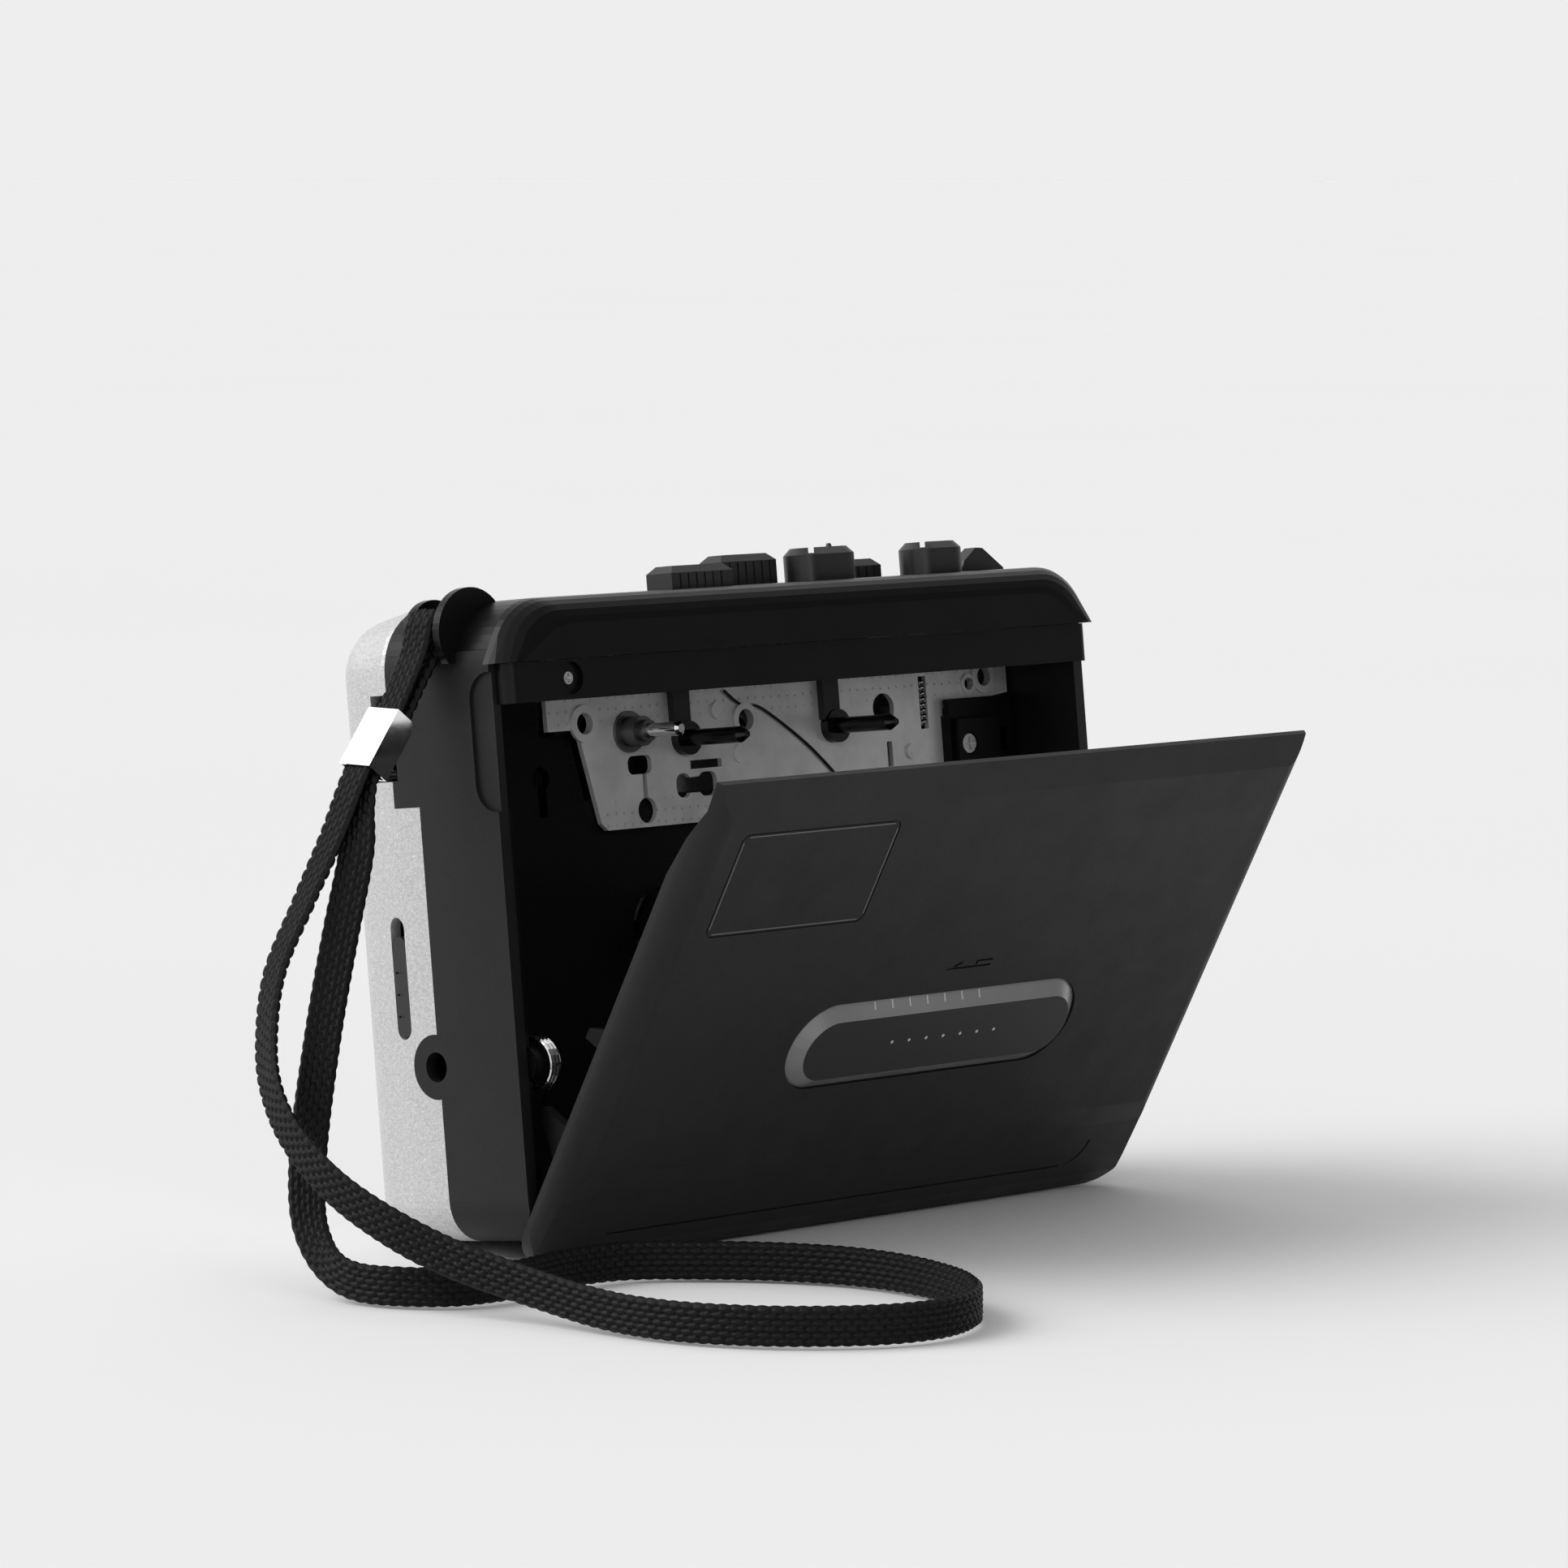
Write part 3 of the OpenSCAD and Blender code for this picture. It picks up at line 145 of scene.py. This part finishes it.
def ramp(tree, value, *stops):
    """Colour that value picks from stops of position and tone."""
    made = tree.nodes.new("ShaderNodeValToRGB")
    elements = made.color_ramp.elements
    while len(elements) < len(stops):
        elements.new(0.5)
    for element, (position, tone) in zip(elements, stops):
        element.position = position
        element.color = (*rgb(tone), 1)
    tree.links.new(value, made.inputs["Fac"])
    return made.outputs["Color"]


def spread(tree, socket, value, low, high, start=0.3, end=0.7):
    """Moves a socket from low to high as value goes from start to end."""
    tree.links.new(ramp(tree, value, (start, low), (end, high)), socket)


def bump(tree, bsdf, height, strength, depth):
    made = node(tree, "ShaderNodeBump", Strength=strength, Distance=depth)
    tree.links.new(height, made.inputs["Height"])
    tree.links.new(made.outputs["Normal"], bsdf.inputs["Normal"])


# ---------- material kinds ----------
def plastic(name, tone, rough, grain=0.25, vary=0.25, specular=0.5, scale=4200, coat=0.0):
    """Moulded plastic: a fine grain, a faint drift of colour and patches of different gloss."""
    material, tree, bsdf = setup(name)
    place = coords(tree)
    tone = rgb(tone)
    drift = noise(tree, place, scale=55, detail=4)
    gloss = noise(tree, place, scale=140, detail=5, rough=0.6)
    spread(tree, bsdf.inputs["Base Color"], drift, times(tone, 1 - vary), times(tone, 1 + vary))
    spread(tree, bsdf.inputs["Roughness"], gloss, rough * 0.9, min(rough * 1.12, 1))
    bump(tree, bsdf, noise(tree, place, scale, detail=2, rough=0.6), grain, PLASTIC_DEPTH)
    bsdf.inputs["Specular IOR Level"].default_value = specular
    bsdf.inputs["Coat Weight"].default_value = coat
    bsdf.inputs["Coat Roughness"].default_value = 0.2
    return material


def metal(name, tone, rough, stretch=(1, 1, 1), scale=900, grain=0.1, vary=0.08):
    """Bare metal with fine marks, which a stretch draws out into brushing."""
    material, tree, bsdf = setup(name)
    tone = rgb(tone)
    marks = noise(tree, coords(tree, stretch), scale, detail=4, rough=0.6)
    spread(tree, bsdf.inputs["Base Color"], marks, times(tone, 1 - vary), tone)
    spread(tree, bsdf.inputs["Roughness"], marks, rough * 0.8, min(rough * 1.25, 1))
    bsdf.inputs["Metallic"].default_value = 1.0
    bump(tree, bsdf, marks, grain, METAL_DEPTH)
    return material


def silver_paint():
    """Metallic paint: flakes catch the light in fine specks."""
    material, tree, bsdf = setup("silver_paint")
    place = coords(tree)
    flakes = node(tree, "ShaderNodeTexVoronoi", Scale=5200)
    tree.links.new(place, flakes.inputs["Vector"])
    hue = ramp(tree, flakes.outputs["Color"], (0.15, 0.42), (0.55, 0.52), (0.92, 0.6), (1.0, 0.85))
    tree.links.new(hue, bsdf.inputs["Base Color"])
    spread(tree, bsdf.inputs["Roughness"], noise(tree, place, scale=60), 0.42, 0.5)
    bsdf.inputs["Metallic"].default_value = 0.35
    bsdf.inputs["Coat Weight"].default_value = 0.2
    bsdf.inputs["Coat Roughness"].default_value = 0.25
    bump(tree, bsdf, flakes.outputs["Distance"], 0.12, METAL_DEPTH)
    return material


def zinc_sheet():
    """Plated sheet with rows of small pressed dimples, each darkened in the colour as painted shade,
    and a soft cloudy sheen.
    """
    material, tree, bsdf = setup("zinc_sheet")
    place = coords(tree)
    cells = node(tree, "ShaderNodeTexVoronoi", Scale=620, Randomness=0.12)
    tree.links.new(place, cells.inputs["Vector"])
    dimples = ramp(tree, cells.outputs["Distance"], (0.08, 0.0), (0.2, 1.0))
    cloud = noise(tree, place, scale=160, detail=5, rough=0.6)
    mix = node(tree, "ShaderNodeMix", data_type="RGBA", blend_type="MULTIPLY")
    mix.inputs["Factor"].default_value = 0.3
    spread(tree, mix.inputs[MIX_A], cloud, 0.62, 0.8)
    # Multiplying the dimple mask into the colour darkens each hollow: painted shade.
    tree.links.new(dimples, mix.inputs[MIX_B])
    tree.links.new(mix.outputs[MIX_RESULT], bsdf.inputs["Base Color"])
    spread(tree, bsdf.inputs["Roughness"], cloud, 0.3, 0.44)
    bsdf.inputs["Metallic"].default_value = 0.3
    bump(tree, bsdf, dimples, 0.35, PRESSED_DEPTH)
    return material


def ribbed_black():
    """Black plastic moulded with very fine level lines, the grooves between them darkened in the
    colour as painted shade.
    """
    material, tree, bsdf = setup("ribbed_black")
    place = coords(tree)
    lines = node(tree, "ShaderNodeTexWave", wave_type="BANDS", bands_direction="Z", Scale=1380)
    tree.links.new(place, lines.inputs["Vector"])
    # Darker where the lines are low: painted shade in the grooves.
    spread(tree, bsdf.inputs["Base Color"], lines.outputs["Fac"], 0.0008, 0.003, 0.2, 0.9)
    spread(tree, bsdf.inputs["Roughness"], noise(tree, place, scale=200), 0.34, 0.46)
    bsdf.inputs["Specular IOR Level"].default_value = 0.2
    bump(tree, bsdf, lines.outputs["Fac"], 0.35, PRESSED_DEPTH)
    return material


def clear_acrylic():
    """Clear plastic of the dial window, with a very faint haze."""
    material, tree, bsdf = setup("dial_clear")
    place = coords(tree)
    tint = (0.85, 0.87, 0.87)
    haze = noise(tree, place, scale=350, detail=4)
    spread(tree, bsdf.inputs["Base Color"], noise(tree, place, scale=90), times(tint, 0.94), tint)
    spread(tree, bsdf.inputs["Roughness"], haze, 0.03, 0.08, 0.4, 0.8)
    bsdf.inputs["Transmission Weight"].default_value = 0.9
    bsdf.inputs["IOR"].default_value = 1.49
    return material


def webbing_black():
    """Black yarn with fine fibres."""
    material, tree, bsdf = setup("webbing_black")
    fibres = noise(tree, coords(tree), scale=2600, detail=4, rough=0.65)
    spread(tree, bsdf.inputs["Base Color"], fibres, 0.0015, 0.006, 0.3, 0.75)
    spread(tree, bsdf.inputs["Roughness"], fibres, 0.42, 0.6)
    bsdf.inputs["Specular IOR Level"].default_value = 0.16
    bump(tree, bsdf, fibres, 0.4, PRESSED_DEPTH)
    return material


# ---------- materials ----------
casing_black = plastic("casing_black", 0.008, 0.5, grain=0.35, vary=0.15, specular=0.26)
cover_black = plastic("cover_black", 0.003, 0.3, grain=0.12, vary=0.2, specular=0.18, scale=5200)
door_black = plastic("door_black", 0.008, 0.5, grain=0.4, vary=0.14, specular=0.3)
key_black = plastic("key_black", 0.008, 0.34, grain=0.15, vary=0.2)
inner_black = plastic("inner_black", 0.0015, 0.45, specular=0.16)
gloss_black = plastic("gloss_black", 0.003, 0.22, grain=0.08, vary=0.2, specular=0.4)
label_black = plastic("label_black", 0.007, 0.6, grain=0.3, vary=0.12, specular=0.35, scale=3000)
rubber_black = plastic("rubber_black", 0.012, 0.75, grain=0.4, vary=0.2, specular=0.3)
cone_paper = plastic("cone_paper", 0.02, 0.85, grain=0.6, vary=0.3, specular=0.2, scale=1500)
ferrite_grey = plastic("ferrite_grey", 0.03, 0.6, grain=0.4, scale=2500)
white_acetal = plastic("white_acetal", (0.62, 0.62, 0.58), 0.45, grain=0.1, vary=0.05)
scale_white = plastic("scale_white", (0.65, 0.65, 0.62), 0.5, grain=0.05, vary=0.04)
board_green = plastic("board_green", (0.02, 0.09, 0.035), 0.35, grain=0.1, vary=0.2)
pointer_red = plastic("pointer_red", (0.55, 0.03, 0.02), 0.3, grain=0.05, vary=0.08)
print_white = plastic("print_white", 0.5, 0.6, grain=0.05, vary=0.05)
print_grey = plastic("print_grey", 0.12, 0.6, grain=0.05, vary=0.05)
window_smoke = plastic("window_smoke", 0.008, 0.2, grain=0.03, vary=0.15, specular=0.34,
                       scale=3000, coat=0.15)
# The lens rim is much lighter than the window: painted reflection of the bright studio on its slope.
rim_painted_sheen = plastic("rim_painted_sheen", 0.2, 0.22, grain=0.03, vary=0.15, specular=0.6,
                      scale=3000, coat=0.4)
steel = metal("steel", 0.6, 0.28, stretch=(1, 14, 1))
bright_wire = metal("bright_wire", 0.75, 0.16, scale=1500, grain=0.05)
polished = metal("polished", 0.86, 0.07, scale=500, grain=0.02, vary=0.04)
brass = metal("brass", (0.72, 0.5, 0.2), 0.3, stretch=(1, 10, 1))
dark_steel = metal("dark_steel", 0.05, 0.4)
bearing_grey = metal("bearing_grey", 0.2, 0.42)
grille_metal = metal("grille_metal", 0.62, 0.35, scale=2500, grain=0.15)
silver = silver_paint()
zinc = zinc_sheet()
ribbed = ribbed_black()
dial_clear = clear_acrylic()
webbing = webbing_black()

FINISH = {
    # outside of the body
    "front_casing": casing_black, "top_cover": cover_black, "head_cover": cover_black,
    "rear_shell": silver, "battery_lid": silver, "case_screws": steel, "strap_bar": steel,
    "strap_clip": polished, "wrist_strap": webbing, "dc_jack": inner_black,
    "headphone_jack": inner_black, "output_switch": key_black, "volume_wheel": key_black,
    "tuning_wheel": key_black, "speaker_grille": grille_metal, "dial_window": dial_clear,
    # keys
    "record_key": key_black, "rewind_key": key_black, "play_key": key_black,
    "forward_key": key_black, "stop_key": key_black, "pause_slider": key_black,
    # door
    "door_panel": door_black, "door_window": window_smoke, "door_label": label_black,
    "cassette_holder": inner_black, "hinge_pins": steel, "door_spring": bright_wire,
    # cassette space
    "compartment_liner": ribbed, "chassis_plate": zinc, "mechanism_cover": inner_black,
    "guide_pins": gloss_black, "slot_spring": bright_wire, "capstan_bearing": bearing_grey,
    "capstan_shaft": polished, "takeup_spindle": inner_black, "supply_spindle": inner_black,
    "record_play_head": steel, "erase_head": inner_black, "head_base": zinc,
    "pinch_arm": steel, "pinch_roller": rubber_black,
    # drive
    "mechanism_bracket": zinc, "motor": steel, "motor_pulley": brass,
    "drive_belt": rubber_black, "flywheel": dark_steel, "takeup_gear": white_acetal,
    "supply_gear": white_acetal, "idler_gear": white_acetal,
    # electrics
    "circuit_board": board_green, "board_parts": inner_black, "battery_tray": inner_black,
    "battery_contacts": bright_wire, "speaker_frame": zinc, "speaker_cone": cone_paper,
    "dial_scale": scale_white, "dial_pointer": pointer_red, "tuning_capacitor": white_acetal,
    "ferrite_antenna": ferrite_grey,
}


def finish_nodes():
    for name, obj in frame["nodes"].items():
        obj.data.materials.clear()
        obj.data.materials.append(FINISH[name])


# ---------- mesh helpers ----------
def skin(bm, rings):
    """Joins rings of vertices into a closed tube with flat ends."""
    for ring, following in zip(rings, rings[1:]):
        for i in range(len(ring)):
            j = (i + 1) % len(ring)
            bm.faces.new((ring[i], ring[j], following[j], following[i]))
    bm.faces.new(rings[0][::-1])
    bm.faces.new(rings[-1])


def new_piece(name, bm, material, body, smooth=False):
    bmesh.ops.recalc_face_normals(bm, faces=bm.faces)
    mesh = bpy.data.meshes.new(name)
    bm.to_mesh(mesh)
    bm.free()
    mesh.materials.append(material)
    for face in mesh.polygons:
        face.use_smooth = smooth
    obj = bpy.data.objects.new(name, mesh)
    bpy.context.collection.objects.link(obj)
    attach(obj, body)
    return obj


def curve_point(points, u):
    """Point at u on a smooth curve through all the points, where u counts points from 0."""
    last = len(points) - 1
    k = min(int(u), last - 1)
    p, q, r, s = [Vector(points[max(0, min(i, last))]) for i in range(k - 1, k + 3)]
    t = u - k
    return 0.5 * (2 * q + (r - p) * t + (2 * p - 5 * q + 4 * r - s) * t * t
                  + (3 * q - p - 3 * r + s) * t ** 3)


# ---------- door details ----------
# Outlines of printed marks, in half widths and half heights.
RECTANGLE = [(1, 1), (-1, 1), (-1, -1), (1, -1)]
ROUND = [(math.cos(math.radians(15 + 30 * i)), math.sin(math.radians(15 + 30 * i)))
         for i in range(12)]
INK = 0.04
MARKS = 7
# Rows of marks on the window: first x, pitch, z, width, height and outline.
DOT_ROW = (-7.2, 3.42, 33.9, 0.5, 0.5, ROUND)
TICK_ROW = (-12.5, 3.48, 39.7, 0.22, 1.2, RECTANGLE)
LABEL_X = (-51.9, -22.7)
LABEL_Z = (54.7, 69.9)
LABEL_LINE = 0.16
LABEL_CORNER = 0.8
CLEAR_OF_DOOR = 40
# A face of the lens is its sloping rim when its normal's part along DOOR_OUT is between these.
RIM_SLOPE = (0.1, 0.97)


def bevel_rim(obj, material):
    """Gives the sloping rim of a raised lens a much lighter material, a painted reflection of the
    bright studio.
    """
    obj.data.materials.append(material)
    turn = obj.matrix_world.to_3x3()
    for face in obj.data.polygons:
        if RIM_SLOPE[0] < (turn @ face.normal).normalized().dot(DOOR_OUT) < RIM_SLOPE[1]:
            face.material_index = 1


def surface_of(*names):
    """The surface of some nodes together, for finding points on it."""
    bm = bmesh.new()
    for name in names:
        obj = frame["nodes"][name]
        mesh = obj.data.copy()
        mesh.transform(obj.matrix_world)
        bm.from_mesh(mesh)
        bpy.data.meshes.remove(mesh)
    surface = BVHTree.FromBMesh(bm)
    bm.free()
    return surface


def printed(bm, surface, x, z, wide, tall, outline=RECTANGLE):
    """Thin mark lying on a surface of the door, centred in front of door place (x, z)."""
    start = DOOR @ Vector((x, -CLEAR_OF_DOOR, z))
    place, normal = surface.ray_cast(start, -DOOR_OUT)[:2]
    up = DOOR_ACROSS.cross(normal).normalized()
    low, high = [], []
    for i, j in outline:
        corner = DOOR_ACROSS * i * wide / 2 + up * j * tall / 2
        low.append(bm.verts.new(place + corner * MM))
        high.append(bm.verts.new(place + (corner + normal * INK) * MM))
    skin(bm, [low, high])


def window_marks():
    """A row of dots and a row of ticks on the window."""
    surface = surface_of("door_window")
    bm = bmesh.new()
    for first, pitch, z, wide, tall, outline in (DOT_ROW, TICK_ROW):
        for i in range(MARKS):
            printed(bm, surface, first + pitch * i, z, wide, tall, outline)
    new_piece("window_marks", bm, print_white, "door")


def label_border():
    """Fine printed line round the blank label, open at its corners."""
    surface = surface_of("door_label", "door_panel")
    bm = bmesh.new()
    (left, right), (foot, head) = LABEL_X, LABEL_Z
    for z in (foot, head):
        printed(bm, surface, (left + right) / 2, z, right - left - 2 * LABEL_CORNER, LABEL_LINE)
    for x in (left, right):
        printed(bm, surface, x, (foot + head) / 2, LABEL_LINE, head - foot - 2 * LABEL_CORNER)
    new_piece("label_border", bm, print_grey, "door")


# ---------- wire over the deck ----------
# Player x and z of the wire's points, from under the head cover down over the deck.
WIRE = [(-2.2, 72.1), (0.9, 70), (4.4, 69.5), (9.4, 66.6), (14.4, 63.1), (18.9, 59.2)]
WIRE_Y = -3.9
WIRE_R = 0.2
WIRE_SIDES = 10
WIRE_STEPS = 8


def deck_wire():
    """Thin bent wire that crosses the deck."""
    points = [(x, z, 0) for x, z in WIRE]
    steps = WIRE_STEPS * (len(points) - 1)
    centres = [curve_point(points, i / WIRE_STEPS) for i in range(steps + 1)]
    bm = bmesh.new()
    rings = []
    for i, centre in enumerate(centres):
        along = (centres[min(i + 1, steps)] - centres[max(i - 1, 0)]).normalized()
        side = Vector((-along.y, along.x, 0))
        ring = []
        for j in range(WIRE_SIDES):
            angle = 2 * math.pi * j / WIRE_SIDES
            x, z, _ = centre + side * WIRE_R * math.cos(angle)
            y = WIRE_Y + WIRE_R * math.sin(angle)
            ring.append(bm.verts.new(PLAYER @ Vector((x, y, z))))
        rings.append(ring)
    skin(bm, rings)
    new_piece("deck_wire", bm, dark_steel, "casing", smooth=True)


# ---------- wrist strap ----------
# Each point of the route is a place, in millimetres from STAND, and the
# direction of the webbing's width there. BAR is along the bar of the strap's ear.
BAR = (0, -0.99, 0.1)
UP = (0, 0, 1)
ROUTE = [
    ((-57.9, 15.3, 86.8), BAR), ((-58.1, 15.3, 85), BAR), ((-60.4, 15.1, 81.5), BAR),
    ((-63.3, 14.8, 77.7), BAR), ((-66, 14.5, 73.9), BAR), ((-68.9, 14.6, 70), BAR),
    ((-71.9, 14.6, 66), BAR), ((-74.2, 13.4, 61.5), (0.2, -0.98, 0)),
    ((-75.9, 12, 56.5), (0.4, -0.9, 0)), ((-79, 11.6, 46.5), (0.5, -0.85, 0)),
    ((-82, 10.6, 38.5), (0.5, -0.85, 0)), ((-85, 9.2, 31), (0.5, -0.85, 0)),
    ((-88, 7.8, 22.1), (0.55, -0.8, 0.05)), ((-90, 6.4, 15.5), (0.55, -0.75, 0.2)),
    ((-91.4, 4.6, 10), (0.45, -0.6, 0.55)), ((-92.3, 1.6, 6.2), (0.3, -0.4, 0.8)),
    ((-92.8, -2.2, 3.8), (0.1, -0.1, 1)), ((-92.6, -6.5, 2.8), UP),
    ((-91, -12, 2.7), UP), ((-86, -17.6, 2.7), UP), ((-77, -19, 2.7), UP),
    ((-66, -17, 2.7), UP), ((-55.5, -18, 2.7), UP), ((-47.5, -25, 2.7), UP),
    ((-41.5, -33, 2.7), UP), ((-37.8, -42, 2.7), UP), ((-37.2, -51, 2.7), UP),
    ((-39, -60, 2.7), UP), ((-43, -69, 2.7), UP), ((-50, -76.5, 2.7), UP),
    ((-59, -80, 2.7), UP), ((-68, -78.6, 2.7), UP), ((-76.5, -72.5, 2.7), UP),
    ((-82.6, -64.5, 2.7), UP), ((-85.8, -55, 2.7), UP), ((-86.8, -45, 3.1), UP),
    ((-88.2, -33, 4.9), UP), ((-91, -22.2, 7.5), (0.1, 0, 1)),
    ((-94, -13.4, 11.2), (0.05, -0.1, 1)), ((-95.4, -4.6, 15.6), (0, -0.3, 0.95)),
    ((-95.2, 3.4, 21), (-0.1, -0.6, 0.8)), ((-93.6, 9.2, 26.4), (-0.2, -0.8, 0.5)),
    ((-90.6, 13.6, 32.5), (-0.25, -0.95, 0.2)), ((-86.4, 16.6, 41), (-0.25, -0.95, 0)),
    ((-81.4, 16.4, 50), (-0.2, -0.97, 0)), ((-77, 15.4, 58.8), (-0.1, -1, 0)),
    ((-73.5, 14.8, 66.5), BAR), ((-70.1, 14.7, 71), BAR), ((-67.2, 14.6, 74.9), BAR),
    ((-64.7, 14.8, 78.8), BAR), ((-62.4, 15.1, 82.6), BAR), ((-61.2, 15.3, 86.2), BAR),
    ((-59.9, 15.3, 87.8), BAR),
]
ROUTE_STEPS = 6000   # short steps in which the route's length is added up
ROW_STEP = 0.2       # distance between rows of the mesh along the strap
PATH_EVERY = 10      # rows between two points of the path that build_strap returns

WEB_WIDE = 5.0
WEB_THICK = 1.4
WEFT = 1.7           # length of one pick of the weave along the strap
WARPS = 6            # rows of yarn across the width
YARN = 0.44          # height of a yarn above the core of the webbing
ROUNDING = 2.6       # power that shapes a yarn's hump
ACROSS = 28          # vertices across each face
EDGE_THIN = 0.45     # share of its thickness that the core loses at the edges
RIM = 0.12           # least width of the rolled edge
KNUCKLE = 0.14       # how far the edge bulges further at each pick


def route_walk():
    """Evenly spaced rows of place, direction and width direction, and the route's length."""
    places, widths = zip(*ROUTE)
    last = len(ROUTE) - 1
    fine = [last * i / ROUTE_STEPS for i in range(ROUTE_STEPS + 1)]
    points = [curve_point(places, u) + STAND for u in fine]
    walked = [0.0]
    for a, b in zip(points, points[1:]):
        walked.append(walked[-1] + (b - a).length)
    total = walked[-1]
    count = int(total / ROW_STEP)
    rows, k = [], 0
    for i in range(count + 1):
        s = total * i / count
        while k < ROUTE_STEPS - 1 and walked[k + 1] < s:
            k += 1
        place = points[k].lerp(points[k + 1], (s - walked[k]) / (walked[k + 1] - walked[k]))
        along = (points[min(k + 3, ROUTE_STEPS)] - points[max(k - 2, 0)]).normalized()
        rows.append((place, along, curve_point(widths, fine[k])))
    return rows, total


def yarn_height(s, v, side):
    """Height of the woven yarns, 0 to 1, at s along the strap and v across it (0 to 1)."""
    lane = v * WARPS
    row = min(int(lane), WARPS - 1)
    across = lane - row - 0.5
    along = (s / WEFT + 0.5 * (row % 2) + 0.5 * side) % 1.0 - 0.5
    reach = (2 * abs(across)) ** ROUNDING + (2 * abs(along)) ** ROUNDING
    return math.sqrt(max(0.0, 1 - reach))


def build_strap():
    """Woven webbing along the route, the path it follows in metres, and its length."""
    rows, total = route_walk()
    bm = bmesh.new()
    half_wide = WEB_WIDE / 2 - RIM
    half_core = WEB_THICK / 2 - YARN
    rings, path = [], []
    for i, (place, along, wide) in enumerate(rows):
        s = total * i / (len(rows) - 1)
        face = along.cross(wide).normalized()
        edge = face.cross(along).normalized()
        if i % PATH_EVERY == 0 or i == len(rows) - 1:
            path.append(tuple(place * MM))
        ring = []
        for side in (1, -1):
            for j in range(ACROSS):
                v = j / (ACROSS - 1)
                core = half_core * (1 - abs(2 * v - 1) ** 6 * EDGE_THIN)
                rise = face * side * (core + YARN * yarn_height(s, v, 0 if side > 0 else 1))
                ring.append(bm.verts.new((place + rise + edge * side * (2 * v - 1) * half_wide) * MM))
            bulge = RIM + KNUCKLE * abs(math.sin(math.pi * s / WEFT + side))
            ring.append(bm.verts.new((place + edge * side * (half_wide + bulge)) * MM))
        rings.append(ring)
    skin(bm, rings)
    strap = new_piece("strap_webbing", bm, webbing, "casing", smooth=True)
    return strap, path, total


# ---------- floor and light ----------
FLOOR_TONE = 0.749
FLOOR_CLOUD = 0.003  # how far the paper's tone drifts either way
FLOOR_HALF = 30.0    # half the floor's side, in metres
FLOOR_CELLS = 12
FLOOR_DROP = 0.0003  # keeps the floor just clear of the feet
BACKDROP = 0.855
# Light added to the backdrop: direction, full within, gone beyond (degrees), strength
SOFT_LIGHTS = [
    ((0.713, -0.698, 0.05), 20, 75, -0.7),    # the dark end of the studio
    ((-0.62, 0.5, 0.6), 10, 30, 4.5),         # large softbox, back left
    ((-0.25, -0.93, 0.3), 3, 10, 3.0),        # small box beside the camera
]


def floor():
    bm = bmesh.new()
    bmesh.ops.create_grid(bm, x_segments=FLOOR_CELLS, y_segments=FLOOR_CELLS, size=FLOOR_HALF)
    mesh = bpy.data.meshes.new("floor")
    bm.to_mesh(mesh)
    bm.free()
    material, tree, bsdf = setup("floor_paper")
    cloud = noise(tree, coords(tree), scale=3, detail=2)
    spread(tree, bsdf.inputs["Base Color"], cloud, FLOOR_TONE - FLOOR_CLOUD, FLOOR_TONE + FLOOR_CLOUD)
    bsdf.inputs["Roughness"].default_value = 0.6
    bsdf.inputs["Specular IOR Level"].default_value = 0.0
    mesh.materials.append(material)
    obj = bpy.data.objects.new("floor", mesh)
    bpy.context.collection.objects.link(obj)
    obj.location.z = -FLOOR_DROP


def studio():
    """Even light from all round, with the soft lights added by direction."""
    world = bpy.data.worlds.new("studio")
    bpy.context.scene.world = world
    world.use_nodes = True
    tree = world.node_tree
    place = tree.nodes.new("ShaderNodeTexCoord")
    total = None
    for direction, inner, outer, strength in SOFT_LIGHTS:
        facing = node(tree, "ShaderNodeVectorMath", operation="DOT_PRODUCT")
        tree.links.new(place.outputs["Generated"], facing.inputs[0])
        facing.inputs[1].default_value = Vector(direction).normalized()
        lobe = node(tree, "ShaderNodeMapRange", interpolation_type="SMOOTHSTEP")
        lobe.inputs["From Min"].default_value = math.cos(math.radians(outer))
        lobe.inputs["From Max"].default_value = math.cos(math.radians(inner))
        lobe.inputs["To Max"].default_value = strength
        tree.links.new(facing.outputs["Value"], lobe.inputs["Value"])
        add = node(tree, "ShaderNodeMath", operation="ADD")
        add.inputs[1].default_value = BACKDROP
        tree.links.new(lobe.outputs["Result"], add.inputs[0])
        if total:
            tree.links.new(total, add.inputs[1])
        total = add.outputs["Value"]
    background = tree.nodes["Background"]
    background.inputs["Color"].default_value = (1, 1, 1, 1)
    tree.links.new(total, background.inputs["Strength"])


# ---------- build ----------
camera()
finish_nodes()
# The lens rim gets the lighter material: painted reflection.
bevel_rim(frame["nodes"]["door_window"], rim_painted_sheen)
window_marks()
label_border()
deck_wire()
strap, strap_path, strap_length = build_strap()
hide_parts("wrist_strap")
floor()
studio()
bpy.context.scene.view_settings.view_transform = "Standard"
